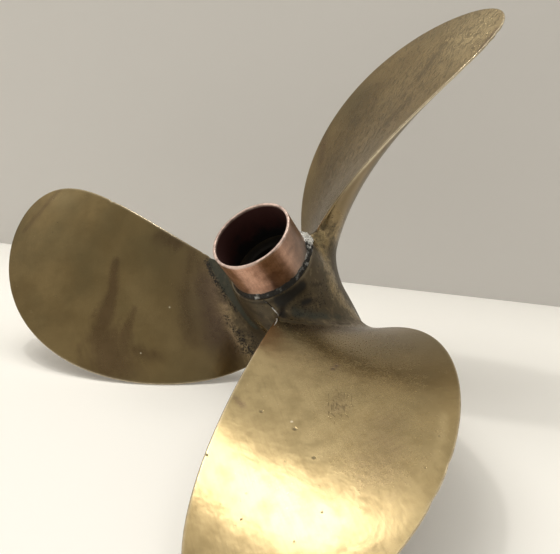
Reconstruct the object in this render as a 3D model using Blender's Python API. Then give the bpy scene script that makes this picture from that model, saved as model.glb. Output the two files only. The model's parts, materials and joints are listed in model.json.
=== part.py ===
"""A three-bladed bronze boat propeller with a short copper coupling soldered to its hub.

Metres, +Z up. The propeller stands as it does on a table: on the forward rim of its hub and on
the leading edges of two blades, with its third blade up. The shaft axis leans towards -Y, in the
YZ plane, and the origin is at the bottom centre of the whole object.

In the propeller's own frame, z runs aft along the shaft axis, towards the coupling, with z = 0
level with the middle of the blade roots. The blades are left-handed: seen from the coupling, the
clockwise edge of each is the nearer one, which is its trailing edge. They lean and sweep aft.
"""

import math

import bmesh
import bpy
import numpy as np
from mathutils import Matrix, Vector

# Hub: a crowned boss with a shaft bore and a keyway
HUB_AFT_RADIUS = 0.0163
HUB_MIDDLE_RADIUS = 0.0180
HUB_FORWARD_RADIUS = 0.0170
HUB_AFT_MARGIN = 0.0003
HUB_FORWARD_LENGTH = 0.0290
HUB_EDGE_CHAMFER = 0.0008
BORE_RADIUS = 0.0095
KEYWAY_WIDTH = 0.0048
KEYWAY_DEPTH = 0.0024

# Blades: three alike, on a helicoid whose pitch falls a little towards the tip
BLADE_NAMES = ("blade_left", "blade_front", "blade_upper")
PROPELLER_DIAMETER = 0.254
ROOT_PITCH = 0.225
TIP_PITCH = 0.183
ROOT_WIDTH = 0.034
TIP_WIDTH = 0.173
SWEEP_LENGTH = 0.061
RAKE_LENGTH = 0.045
RAKE_RELIEF_LENGTH = 0.015
ROOT_THICKNESS = 0.0110
TIP_THICKNESS = 0.0018
FACE_SHARE = 0.2
FACE_FULLNESS = 2.0
BACK_LEADING_FULLNESS = 2.0
BACK_TRAILING_FULLNESS = 4.0
TIP_FADE = 3.0
EDGE_RADIUS = 0.0007

# Fillets between a blade and the hub, widest towards the leading edge
FACE_TRAILING_FILLET = 0.0060
FACE_LEADING_FILLET = 0.0145
BACK_FILLET = 0.0080
TRAILING_EDGE_FILLET = 0.0060
LEADING_EDGE_FILLET = 0.0120

# Copper coupling on the hub's aft face
COUPLING_RADIUS = 0.0150
COUPLING_WALL = 0.0010
COUPLING_LENGTH = 0.0165
COUPLING_RIM_ROUND = 0.0002

# Solder round the foot of the coupling, with a lump beside the upper blade
SOLDER_HEIGHT = 0.0020
SOLDER_WIDTH = 0.0009
SOLDER_LUMP_HEIGHT = 0.0037
SOLDER_LUMP_WIDTH = 0.0029
SOLDER_LUMP_TURN = math.radians(202)
SOLDER_LUMP_SPREAD = math.radians(19)
BEAD_HOLLOW = 0.5
LUMP_HOLLOW = 0.2

# Pieces that touch keep this much air between their meshes
FIT_GAP = 0.0003

# Mesh fineness
ROUND_STEPS = 64
HUB_STEPS = 9
SPAN_STEPS = 28
SPAN_CROWDING = 1.6
CHORD_STEPS = 18
CAP_STEPS = 4
SOLDER_STEPS = 72
BEAD_STEPS = 4
HUB_FOLLOW_POWER = 6
SHARP_ANGLE = math.radians(35)
MERGE_DISTANCE = 1e-6
REST_TRIES = 50

TIP_RADIUS = PROPELLER_DIAMETER / 2
ROOT_RADIUS = HUB_MIDDLE_RADIUS + FIT_GAP

# The hub's aft face stands a margin past the rounded aft corners of the blade roots
ROOT_SLOPE = math.atan2(ROOT_PITCH / math.tau, ROOT_RADIUS)
ROOT_REACH = (ROOT_WIDTH / 2 - EDGE_RADIUS) * math.sin(ROOT_SLOPE) + math.hypot(
    (EDGE_RADIUS + TRAILING_EDGE_FILLET) * math.sin(ROOT_SLOPE),
    (EDGE_RADIUS + FACE_TRAILING_FILLET) * math.cos(ROOT_SLOPE))
HUB_AFT_LENGTH = ROOT_REACH + HUB_AFT_MARGIN

BRONZE = ("bronze", (0.36, 0.27, 0.14), 0.38, 1.0)
COPPER = ("copper", (0.72, 0.36, 0.24), 0.30, 1.0)
SOLDER = ("solder", (0.55, 0.56, 0.55), 0.35, 1.0)


def clear_scene():
    for obj in list(bpy.data.objects):
        bpy.data.objects.remove(obj)


def make_material(spec):
    """A Principled material from its name, colour, roughness and metallic value."""
    name, colour, roughness, metallic = spec
    material = bpy.data.materials.new(name)
    material.use_nodes = True
    shader = material.node_tree.nodes["Principled BSDF"]
    shader.inputs["Base Color"].default_value = (*colour, 1.0)
    shader.inputs["Roughness"].default_value = roughness
    shader.inputs["Metallic"].default_value = metallic
    return material


def add_object(name, bm, material):
    """Turns a bmesh into a named object of one material, shaded smooth but for its sharp edges."""
    bmesh.ops.recalc_face_normals(bm, faces=bm.faces)
    mesh = bpy.data.meshes.new(name)
    bm.to_mesh(mesh)
    bm.free()
    mesh.materials.append(material)
    mesh.shade_smooth()
    mesh.set_sharp_from_angle(angle=SHARP_ANGLE)
    obj = bpy.data.objects.new(name, mesh)
    bpy.context.scene.collection.objects.link(obj)
    return obj


def turned(profile, steps=ROUND_STEPS):
    """A bmesh of a closed profile of (radius, height) points, turned about the z axis."""
    bm = bmesh.new()
    verts = [bm.verts.new((radius, 0.0, height)) for radius, height in profile]
    edges = [bm.edges.new((a, b)) for a, b in zip(verts, verts[1:] + verts[:1])]
    bmesh.ops.spin(bm, geom=verts + edges, axis=(0, 0, 1), cent=(0, 0, 0),
                   angle=math.tau, steps=steps, use_merge=True)
    bmesh.ops.remove_doubles(bm, verts=bm.verts, dist=MERGE_DISTANCE)
    return bm


def hub_radius(z):
    """The hub's outer radius at height z: largest at the middle, crowned towards both ends."""
    aft_fall = (HUB_MIDDLE_RADIUS - HUB_AFT_RADIUS) * (np.clip(z, 0, HUB_AFT_LENGTH) / HUB_AFT_LENGTH) ** 2
    forward_share = np.clip(-z, 0, HUB_FORWARD_LENGTH) / HUB_FORWARD_LENGTH
    return HUB_MIDDLE_RADIUS - aft_fall - (HUB_MIDDLE_RADIUS - HUB_FORWARD_RADIUS) * forward_share ** 2


def make_hub(material):
    """The boss, turned with its bore, and the keyway cut along the bore."""
    aft, forward, bevel = HUB_AFT_LENGTH, -HUB_FORWARD_LENGTH, HUB_EDGE_CHAMFER
    outside = [(float(hub_radius(z)), z) for z in np.linspace(aft, forward + bevel, HUB_STEPS)]
    inside = [
        (HUB_FORWARD_RADIUS - bevel, forward),
        (BORE_RADIUS + bevel, forward),
        (BORE_RADIUS, forward + bevel),
        (BORE_RADIUS, aft - bevel),
        (BORE_RADIUS + bevel, aft),
    ]
    hub = add_object("hub", turned(outside + inside), material)
    cutter_bm = bmesh.new()
    bmesh.ops.create_cube(cutter_bm, size=1.0)
    reach = BORE_RADIUS + KEYWAY_DEPTH
    bmesh.ops.scale(cutter_bm, vec=(reach, KEYWAY_WIDTH, 2 * (aft - forward)), verts=cutter_bm.verts)
    bmesh.ops.translate(cutter_bm, vec=(reach / 2, 0, (aft + forward) / 2), verts=cutter_bm.verts)
    cutter = add_object("keyway_cutter", cutter_bm, material)
    cutter.hide_render = True
    cutter.display_type = "WIRE"
    cutter.parent = hub
    cut = hub.modifiers.new("keyway", "BOOLEAN")
    cut.operation = "DIFFERENCE"
    cut.object = cutter
    return hub


def fillet_growth(height, fillet):
    """How far a round fillet of this radius stands out from the blade, at a height above the hub."""
    share = np.clip(height / fillet, 0, 1)
    return fillet * (1 - np.sqrt(1 - (1 - share) ** 2))


def blade_points(span, angle):
    """Points round the blade's section, as (radius, turn, height), at a share of the span.

    angle runs round the section: 0 at the trailing edge, which is nearer the coupling, and pi at
    the leading edge, with the pressure face, which faces the coupling, between them, and the
    back of the blade from pi to 2 pi.
    """
    radius = ROOT_RADIUS + (TIP_RADIUS - ROOT_RADIUS) * span
    lead = (ROOT_PITCH + (TIP_PITCH - ROOT_PITCH) * span) / math.tau
    slant = math.hypot(radius, lead)
    above = radius - ROOT_RADIUS
    across = np.cos(angle)
    to_trailing = (1 + across) / 2
    is_face = np.sin(angle) > 0
    face_fillet = FACE_LEADING_FILLET + (FACE_TRAILING_FILLET - FACE_LEADING_FILLET) * to_trailing
    fillet = np.where(is_face, face_fillet, BACK_FILLET)
    edge_fillet = np.where(across > 0, TRAILING_EDGE_FILLET, LEADING_EDGE_FILLET)
    edge_length = EDGE_RADIUS + fillet_growth(above, edge_fillet)
    half_width = (ROOT_WIDTH + (TIP_WIDTH - ROOT_WIDTH) * span) * math.sqrt(1 - span) / 2
    half_chord = half_width + edge_length - EDGE_RADIUS
    thickness = ROOT_THICKNESS + (TIP_THICKNESS - ROOT_THICKNESS) * span
    share = np.where(is_face, FACE_SHARE, 1 - FACE_SHARE)
    back_fullness = BACK_LEADING_FULLNESS + (BACK_TRAILING_FULLNESS - BACK_LEADING_FULLNESS) * to_trailing
    fullness = np.where(is_face, FACE_FULLNESS, back_fullness)
    nose = np.sqrt(1 - (1 - np.clip(half_chord * (1 - np.abs(across)) / edge_length, 0, 1)) ** 2)
    fade = min(1.0, TIP_FADE * math.sqrt(1 - span))
    body = share * (thickness - 2 * EDGE_RADIUS) * (1 - np.abs(across) ** fullness) * fade
    offset = np.where(is_face, 1, -1) * (nose * (EDGE_RADIUS + fillet_growth(above, fillet)) + body)
    along = SWEEP_LENGTH * span ** 2 + half_chord * across
    rake = RAKE_LENGTH * span - RAKE_RELIEF_LENGTH * span ** 2
    turn = -along / slant + offset * lead / (slant * radius)
    height = rake + along * lead / slant + offset * radius / slant
    radii = radius + (hub_radius(height) - HUB_MIDDLE_RADIUS) * (1 - span) ** HUB_FOLLOW_POWER
    return radii, turn, height


def to_xyz(radius, turn, height):
    """Turns cylinder coordinates about the shaft axis into x, y and z."""
    return np.stack([radius * np.cos(turn), radius * np.sin(turn), height], axis=-1)


def blade_bmesh():
    """One blade in the propeller's frame, at turn 0, from the hub's surface out to the tip."""
    bm = bmesh.new()
    count = 2 * CHORD_STEPS
    angles = np.arange(count) * math.tau / count
    spans = 1 - (1 - np.arange(SPAN_STEPS) / SPAN_STEPS) ** SPAN_CROWDING
    rings = []
    for span in spans:
        points = to_xyz(*blade_points(span, angles))
        rings.append([bm.verts.new(p) for p in points])
    for inner, outer in zip(rings, rings[1:]):
        for i in range(count):
            j = (i + 1) % count
            bm.faces.new((inner[i], inner[j], outer[j], outer[i]))
    tip = bm.verts.new(to_xyz(*blade_points(1.0, np.array([math.pi / 2])))[0])
    for i in range(count):
        bm.faces.new((rings[-1][i], rings[-1][(i + 1) % count], tip))
    close_root(bm, rings[0], angles)
    return bm


def close_root(bm, ring, angles):
    """Closes the blade's root with faces that follow the hub's round surface."""
    _, turn, height = blade_points(0.0, angles)
    rows = [[ring[0]] * (CAP_STEPS + 1)]
    for i in range(1, CHORD_STEPS):
        near, far = i, len(ring) - i
        row = [ring[near]]
        for step in range(1, CAP_STEPS):
            share = step / CAP_STEPS
            t = turn[near] + (turn[far] - turn[near]) * share
            h = height[near] + (height[far] - height[near]) * share
            row.append(bm.verts.new(to_xyz(hub_radius(h) + FIT_GAP, t, h)))
        rows.append(row + [ring[far]])
    rows.append([ring[CHORD_STEPS]] * (CAP_STEPS + 1))
    for row, after in zip(rows, rows[1:]):
        for k in range(CAP_STEPS):
            corners = (row[k], row[k + 1], after[k + 1], after[k])
            bm.faces.new(list(dict.fromkeys(corners)))


def make_blades(material):
    """The blades, evenly spaced and anticlockwise in order, seen from the coupling."""
    blades = []
    for index, name in enumerate(BLADE_NAMES):
        blade = add_object(name, blade_bmesh(), material)
        blade.rotation_euler.z = index * math.tau / len(BLADE_NAMES)
        blades.append(blade)
    return blades


def make_coupling(material):
    """A thin copper sleeve standing on the hub's aft face."""
    foot = HUB_AFT_LENGTH + FIT_GAP
    rim = HUB_AFT_LENGTH + COUPLING_LENGTH
    outer, inner, curve = COUPLING_RADIUS, COUPLING_RADIUS - COUPLING_WALL, COUPLING_RIM_ROUND
    profile = [
        (inner, foot),
        (outer, foot),
        (outer, rim - curve),
        (outer - curve, rim),
        (inner + curve, rim),
        (inner, rim - curve),
    ]
    return add_object("copper_coupling", turned(profile), material)


def make_solder(material):
    """The ring of solder in the corner between the coupling and the hub's aft face."""
    foot = HUB_AFT_LENGTH + FIT_GAP
    inner = COUPLING_RADIUS + FIT_GAP
    bm = bmesh.new()
    rings = []
    for step in range(SOLDER_STEPS):
        turn = step * math.tau / SOLDER_STEPS
        from_lump = math.remainder(turn - SOLDER_LUMP_TURN, math.tau)
        lump = math.exp(-((from_lump / SOLDER_LUMP_SPREAD) ** 2))
        height = SOLDER_HEIGHT + (SOLDER_LUMP_HEIGHT - SOLDER_HEIGHT) * lump
        width = SOLDER_WIDTH + (SOLDER_LUMP_WIDTH - SOLDER_WIDTH) * lump
        hollow = BEAD_HOLLOW + (LUMP_HOLLOW - BEAD_HOLLOW) * lump
        ring = [to_xyz(inner, turn, foot)]
        for k in range(BEAD_STEPS + 1):
            slope = k / BEAD_STEPS * math.pi / 2
            out = (1 - hollow) * math.cos(slope) + hollow * (1 - math.sin(slope))
            up = (1 - hollow) * math.sin(slope) + hollow * (1 - math.cos(slope))
            ring.append(to_xyz(inner + width * out, turn, foot + height * up))
        rings.append([bm.verts.new(point) for point in ring])
    for ring, after in zip(rings, rings[1:] + rings[:1]):
        for i in range(len(ring)):
            j = (i + 1) % len(ring)
            bm.faces.new((ring[i], ring[j], after[j], after[i]))
    return add_object("solder_bead", bm, material)


def frame_points(obj):
    """An object's vertices in the propeller's frame, before it is parented."""
    matrix = np.array(obj.matrix_basis)
    points = np.array([v.co for v in obj.data.vertices])
    return points @ matrix[:3, :3].T + matrix[:3, 3]


def resting_turn(hub, left, front):
    """The rotation that stands the propeller on its hub and two blades, leaning towards -Y.

    The floor is the plane through the lowest points of the hub and of the two blades. Those
    points depend on the plane, so it is found by trying it again until it stays the same.
    """
    groups = [frame_points(obj) for obj in (hub, left, front)]
    between = -(left.matrix_basis @ Vector((1, 0, 0)) + front.matrix_basis @ Vector((1, 0, 0)))
    up = np.array(Vector((0, 0, 1)) + between.normalized())
    for _ in range(REST_TRIES):
        a, b, c = (points[np.argmin(points @ up)] for points in groups)
        normal = np.cross(b - a, c - a)
        normal *= np.sign(normal[2]) / np.linalg.norm(normal)
        if np.allclose(normal, up):
            break
        up = normal
    shaft = np.array((0.0, 0.0, 1.0))
    back = up * (shaft @ up) - shaft
    back /= np.linalg.norm(back)
    return Matrix((np.cross(back, up), back, up))


def stand_on_floor(objects, turn):
    """Parents the objects to an empty that carries them to their resting place."""
    turn4 = turn.to_4x4()
    points = np.concatenate([frame_points(obj) for obj in objects]) @ np.array(turn).T
    low, high = points.min(axis=0), points.max(axis=0)
    shift = Vector((-(low[0] + high[0]) / 2, -(low[1] + high[1]) / 2, -low[2]))
    rest = bpy.data.objects.new("propeller_frame", None)
    bpy.context.scene.collection.objects.link(rest)
    rest.matrix_basis = Matrix.Translation(shift) @ turn4
    for obj in objects:
        obj.parent = rest


def main():
    clear_scene()
    bronze, copper, solder = (make_material(spec) for spec in (BRONZE, COPPER, SOLDER))
    hub = make_hub(bronze)
    blades = make_blades(bronze)
    coupling = make_coupling(copper)
    bead = make_solder(solder)
    left, front, _ = blades
    stand_on_floor([hub, *blades, coupling, bead], resting_turn(hub, left, front))


main()
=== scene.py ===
"""The look of a three-bladed bronze boat propeller with a copper coupling soldered to its hub.

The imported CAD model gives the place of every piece. The hub and blades are replaced by one
casting, and the coupling and the solder by finer meshes, each with a procedural finish. The
propeller's own frame has z running aft along the shaft axis, towards the coupling, with z = 0
level with the middle of the blade roots. Sizes are in metres, and the angles that a piece or a
light is given are in degrees. Turns inside the functions are in radians.
"""

import json
import logging
import math
from collections.abc import Callable, Iterable, Sequence
from dataclasses import dataclass, field, fields
from enum import Enum
from types import SimpleNamespace

import bmesh
import bpy
import numpy as np
from mathutils import Matrix, Vector, noise
from mathutils.bvhtree import BVHTree
from mathutils.geometry import delaunay_2d_cdt

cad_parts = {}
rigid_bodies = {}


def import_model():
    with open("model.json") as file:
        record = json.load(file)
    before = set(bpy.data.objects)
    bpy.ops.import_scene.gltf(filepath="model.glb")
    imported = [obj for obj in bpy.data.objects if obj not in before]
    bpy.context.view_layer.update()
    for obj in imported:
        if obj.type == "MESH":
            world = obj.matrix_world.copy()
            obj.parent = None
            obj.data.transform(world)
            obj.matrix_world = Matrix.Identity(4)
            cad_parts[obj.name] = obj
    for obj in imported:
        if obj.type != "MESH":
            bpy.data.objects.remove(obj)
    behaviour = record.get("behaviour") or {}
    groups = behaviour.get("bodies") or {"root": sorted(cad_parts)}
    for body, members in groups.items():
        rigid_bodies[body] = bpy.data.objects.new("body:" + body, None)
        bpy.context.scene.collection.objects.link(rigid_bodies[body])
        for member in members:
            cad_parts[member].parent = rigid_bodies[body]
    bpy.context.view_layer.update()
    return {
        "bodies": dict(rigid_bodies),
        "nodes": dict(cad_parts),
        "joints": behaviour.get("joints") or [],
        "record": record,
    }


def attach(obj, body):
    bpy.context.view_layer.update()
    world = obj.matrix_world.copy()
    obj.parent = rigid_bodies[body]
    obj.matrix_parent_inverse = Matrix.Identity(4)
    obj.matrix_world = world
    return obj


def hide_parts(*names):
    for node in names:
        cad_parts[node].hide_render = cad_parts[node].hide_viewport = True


Colour = tuple[float, float, float]
Cut = tuple[float, float, float]
StrokeRow = tuple[float, float, float, float, float, float, float]

BODY = "root"
SHARP_ANGLE = math.radians(38)
MERGE_DISTANCE = 2e-7
SEW_DISTANCE = MERGE_DISTANCE * 5
RIM_DISTANCE = MERGE_DISTANCE * 50
SLIVER_AREA = 1e-10
ROOT_SHARE = 1e-6
TINY = 1e-9
TURN = math.tau
MM = 1000.0
HUB_RADIUS = 0.0180
HUB_REACH = 0.0280
HUB_BLEND = 0.0060
NOISE_MIDDLE = 0.5
STREAK_SHIFT = 9.0
STREAK_ROUGHNESS = 0.5

log = logging.getLogger("propeller")


def blend(first: "Value", second: "Value", share: "Value") -> "Value":
    """A value that goes evenly from the first, at a share of 0, to the second, at 1."""
    return first + (second - first) * share


def new_object(name: str, data: bpy.types.ID) -> bpy.types.Object:
    """Makes an object and links it to the scene.

    Args:
        name: Its name.
        data: Its mesh, light or camera.

    Returns:
        The object.
    """
    obj = bpy.data.objects.new(name, data)
    bpy.context.scene.collection.objects.link(obj)
    return obj


class Blade(Enum):
    """The three blades, in order round the shaft; the value is the blade's number."""

    LEFT = 0
    FRONT = 1
    UPPER = 2

    @property
    def node(self) -> str:
        """The name of the blade's CAD node."""
        return f"blade_{self.name.lower()}"


class Edge(Enum):
    """The two edges of a blade; the value is the sign of the way across towards it."""

    TRAILING = 1
    LEADING = -1


class Coat(Enum):
    """What lies on the bronze in places, or shows where it is rubbed; the value names its layer."""

    # Soot, and also the painted shade on the hub's end and bore inside the sleeve.
    SOOT = "soot"
    SMEAR = "smear"
    VERDIGRIS = "verdigris"
    BURN = "burn"
    PLUM = "plum"
    RUBBED = "rubbed"
    SCUFF = "scuff"
    PEBBLE = "pebble"
    TARNISH = "tarnish"


@dataclass(frozen=True)
class Stroke:
    """A coat brushed on the casting between two places.

    On a blade, a place is the way along the section, from its middle at the root, and the distance
    from the shaft, both in millimetres. On the hub, where no blade is named, it is the turn in
    degrees and the height in millimetres. The widths are half widths, in millimetres.
    """

    coat: Coat
    blade: Blade | None
    start_x: float
    start_y: float
    end_x: float
    end_y: float
    start_width: float
    end_width: float
    strength: float

    def strengths(self, chart: np.ndarray, barrel: np.ndarray) -> np.ndarray:
        """How strong the coat is at each place.

        Args:
            chart: Rows of the way along, the distance from the shaft and the blade's number.
            barrel: Rows of the turn, in radians, the height and the distance from the shaft.

        Returns:
            The strengths, from 0 to 1.
        """
        start = np.array([self.start_x, self.start_y], float)
        way = np.array([self.end_x, self.end_y], float) - start
        if self.blade:
            places = chart[:, :2] * MM
            where = np.round(chart[:, 2]) == self.blade.value
        else:
            turn = np.degrees(barrel[:, 0]) - start[0]
            places = np.stack([start[0] + np.mod(turn + 180, 360) - 180, barrel[:, 1] * MM], 1)
            where = np.clip((HUB_REACH - barrel[:, 2]) / HUB_BLEND, 0, 1)
            unroll = [math.radians(HUB_RADIUS * MM), 1.0]
            places, start, way = places * unroll, start * unroll, way * unroll
        share = np.clip((places - start) @ way / max(way @ way, TINY), 0, 1)[:, None]
        away = np.linalg.norm(places - start - way * share, axis=1)
        width = blend(self.start_width, self.end_width, share[:, 0])
        return self.strength * np.exp(-((away / width) ** 2)) * where


@dataclass(frozen=True)
class Spot:
    """A dark pit, or a bright speck painted as a glint, on a blade's chart, in millimetres."""

    blade: Blade
    place: tuple[float, float]
    radius: float
    bright: bool = False


def operator(operation: str, turned: bool = False) -> Callable[..., "Wire"]:
    """A method of Wire that adds one Math node.

    Args:
        operation: The node's operation.
        turned: True if the other value comes first.

    Returns:
        The method.
    """
    def method(self: "Wire", *others: "Value") -> "Wire":
        """Adds the node on this value and the others."""
        values = (self, *others)
        return self.graph.math(operation, *(reversed(values) if turned else values))

    return method


class Wire:
    """A node's socket that works in Python expressions, which add Math nodes to its graph."""

    def __init__(self, graph: "NodeGraph", socket: bpy.types.NodeSocket) -> None:
        """Wraps an output socket of a node in a graph."""
        self.graph = graph
        self.socket = socket

    __add__ = __radd__ = operator("ADD")
    __sub__ = operator("SUBTRACT")
    __rsub__ = operator("SUBTRACT", True)
    __mul__ = __rmul__ = operator("MULTIPLY")
    __truediv__ = operator("DIVIDE")
    __pow__ = operator("POWER")
    root = operator("SQRT")
    size = operator("ABSOLUTE")
    sine = operator("SINE")
    cosine = operator("COSINE")
    exp = operator("EXPONENT")
    over = operator("GREATER_THAN")
    at_least = operator("MAXIMUM")
    at_most = operator("MINIMUM")

    def __neg__(self) -> "Wire":
        """This value with its sign turned."""
        return self * -1.0

    def near(self, other: "Value", reach: float = 0.5) -> "Wire":
        """1 where this value is within reach of another, else 0."""
        return self.graph.math("COMPARE", self, other, reach)

    def clamp(self) -> "Wire":
        """The value held between 0 and 1."""
        return self.at_least(0.0).at_most(1.0)

    def swing(self, amount: float) -> "Wire":
        """How far this noise is from its middle, times an amount."""
        return (self - NOISE_MIDDLE) * amount

    def ramp(self, low: float, high: float, start: float = 0.0, end: float = 1.0) -> "Wire":
        """A smooth rise or fall between two levels of this value.

        Args:
            low: The level at which the ramp starts.
            high: The level at which it ends.
            start: The result up to the low level.
            end: The result from the high level.

        Returns:
            The ramp's value.
        """
        levels = {"From Min": low, "From Max": high, "To Min": start, "To Max": end}
        return self.graph.add("ShaderNodeMapRange", {"interpolation_type": "SMOOTHSTEP"},
                              {"Value": self, **levels}, "Result")


Value = Wire | np.ndarray | float


class NodeGraph:
    """A node tree that is built from Python expressions and one method for any other node."""

    def __init__(self, tree: bpy.types.NodeTree) -> None:
        """Wraps an empty or cleared tree, to build in."""
        self.tree = tree

    def add(self, kind: str, settings: dict | None = None, sockets: dict | None = None,
            output: str | int = 0) -> Wire:
        """Adds a node.

        Args:
            kind: The node's type.
            settings: Its properties, which are set first.
            sockets: Values or wires for its inputs, by name, identifier or index.
            output: The output to return, by name, identifier or index.

        Returns:
            The chosen output as a wire.
        """
        node = self.tree.nodes.new(kind)
        for name, value in (settings or {}).items():
            setattr(node, name, value)
        for key, value in (sockets or {}).items():
            socket = self.find(node.inputs, key)
            if isinstance(value, Wire):
                self.tree.links.new(value.socket, socket)
            elif value is not None:
                socket.default_value = value
        return Wire(self, self.find(node.outputs, output))

    @staticmethod
    def find(sockets: Iterable[bpy.types.NodeSocket], key: str | int) -> bpy.types.NodeSocket:
        """A socket by its index, identifier or name.

        Args:
            sockets: The node's inputs or outputs.
            key: What to look for.

        Returns:
            The socket.
        """
        if isinstance(key, int):
            return sockets[key]
        for attribute in ("identifier", "name"):
            for socket in sockets:
                if getattr(socket, attribute) == key and socket.enabled:
                    return socket
        raise KeyError(f"no socket {key!r}")

    def other(self, wire: Wire, output: str) -> Wire:
        """Another output of the node that a wire comes from."""
        return Wire(self, self.find(wire.socket.node.outputs, output))

    def math(self, operation: str, *values: Value) -> Wire:
        """Adds a Math node on numbers and wires."""
        return self.add("ShaderNodeMath", {"operation": operation}, dict(enumerate(values)))

    def combine(self, x: Value, y: Value, z: Value) -> Wire:
        """A vector of three values."""
        return self.add("ShaderNodeCombineXYZ", None, {"X": x, "Y": y, "Z": z})

    def split(self, vector: Wire) -> tuple[Wire, Wire, Wire]:
        """The three values of a vector."""
        x = self.add("ShaderNodeSeparateXYZ", None, {0: vector}, "X")
        return x, self.other(x, "Y"), self.other(x, "Z")


class GeometryTree(NodeGraph):
    """A Geometry Nodes tree with named inputs for its sizes."""

    def __init__(self, name: str) -> None:
        """Makes an empty tree with one geometry output.

        Args:
            name: The tree's name.
        """
        super().__init__(bpy.data.node_groups.new(name, "GeometryNodeTree"))
        self.socket("Geometry", "Geometry", "OUTPUT")
        self.entry = self.tree.nodes.new("NodeGroupInput")
        self.sizes: dict[str, float] = {}

    def socket(self, name: str, kind: str, way: str = "INPUT") -> str:
        """Adds an input or output of the tree and gives its identifier."""
        kind = f"NodeSocket{kind}"
        return self.tree.interface.new_socket(name, in_out=way, socket_type=kind).identifier

    def size(self, name: str, value: float) -> Wire:
        """Adds a named input.

        Args:
            name: The input's name.
            value: The size that it is set to.

        Returns:
            The input as a wire.
        """
        identifier = self.socket(name, "Int" if isinstance(value, int) else "Float")
        self.sizes[identifier] = value
        return Wire(self, self.find(self.entry.outputs, identifier))

    def sizes_of(self, *holders: object) -> SimpleNamespace:
        """Adds an input for every number among the fields of dataclasses.

        Args:
            holders: The dataclasses.

        Returns:
            The inputs by field name.
        """
        values = {f.name: getattr(holder, f.name) for holder in holders for f in fields(holder)}
        numbers = {name: v for name, v in values.items() if isinstance(v, (int, float))}
        return SimpleNamespace(**{name: self.size(name, v) for name, v in numbers.items()})

    def base(self) -> Wire:
        """Adds the input for the geometry that the tree starts from."""
        return Wire(self, self.find(self.entry.outputs, self.socket("Base", "Geometry")))

    def layer(self, name: str) -> Wire:
        """The number that the base holds under this name."""
        return self.add("GeometryNodeInputNamedAttribute", {"data_type": "FLOAT"},
                        {"Name": name}, "Attribute")

    def store(self, geometry: Wire, name: str, value: Wire) -> Wire:
        """Stores a vector on every point.

        Args:
            geometry: The geometry.
            name: The name that the vector is stored under.
            value: The vector.

        Returns:
            The geometry with the vector.
        """
        settings = {"data_type": "FLOAT_VECTOR", "domain": "POINT"}
        return self.add("GeometryNodeStoreNamedAttribute", settings,
                        {"Geometry": geometry, "Name": name, "Value": value})

    def finish(self, geometry: Wire, material: bpy.types.Material) -> None:
        """Ends the tree in Realize Instances and Set Material.

        Args:
            geometry: The finished geometry.
            material: The material of all its faces.
        """
        real = self.add("GeometryNodeRealizeInstances", None, {"Geometry": geometry})
        dressed = self.add("GeometryNodeSetMaterial", None,
                           {"Geometry": real, "Material": material})
        end = self.tree.nodes.new("NodeGroupOutput")
        self.tree.links.new(dressed.socket, end.inputs[0])

    def mesh(self, name: str, base: bpy.types.Mesh | None = None) -> bpy.types.Mesh:
        """Runs the tree on an object and turns the result into a plain mesh.

        Args:
            name: The name of the mesh.
            base: The mesh that the tree starts from, if it needs one.

        Returns:
            The mesh.
        """
        carrier = new_object(name, base or bpy.data.meshes.new(f"{name}_base"))
        modifier = carrier.modifiers.new(name, "NODES")
        modifier.node_group = self.tree
        for identifier, value in self.sizes.items():
            modifier[identifier] = value
        graph = bpy.context.evaluated_depsgraph_get()
        result = bpy.data.meshes.new_from_object(
            carrier.evaluated_get(graph), preserve_all_data_layers=True, depsgraph=graph)
        carrier.modifiers.remove(modifier)
        bpy.data.objects.remove(carrier)
        result.name = name
        return result


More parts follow.
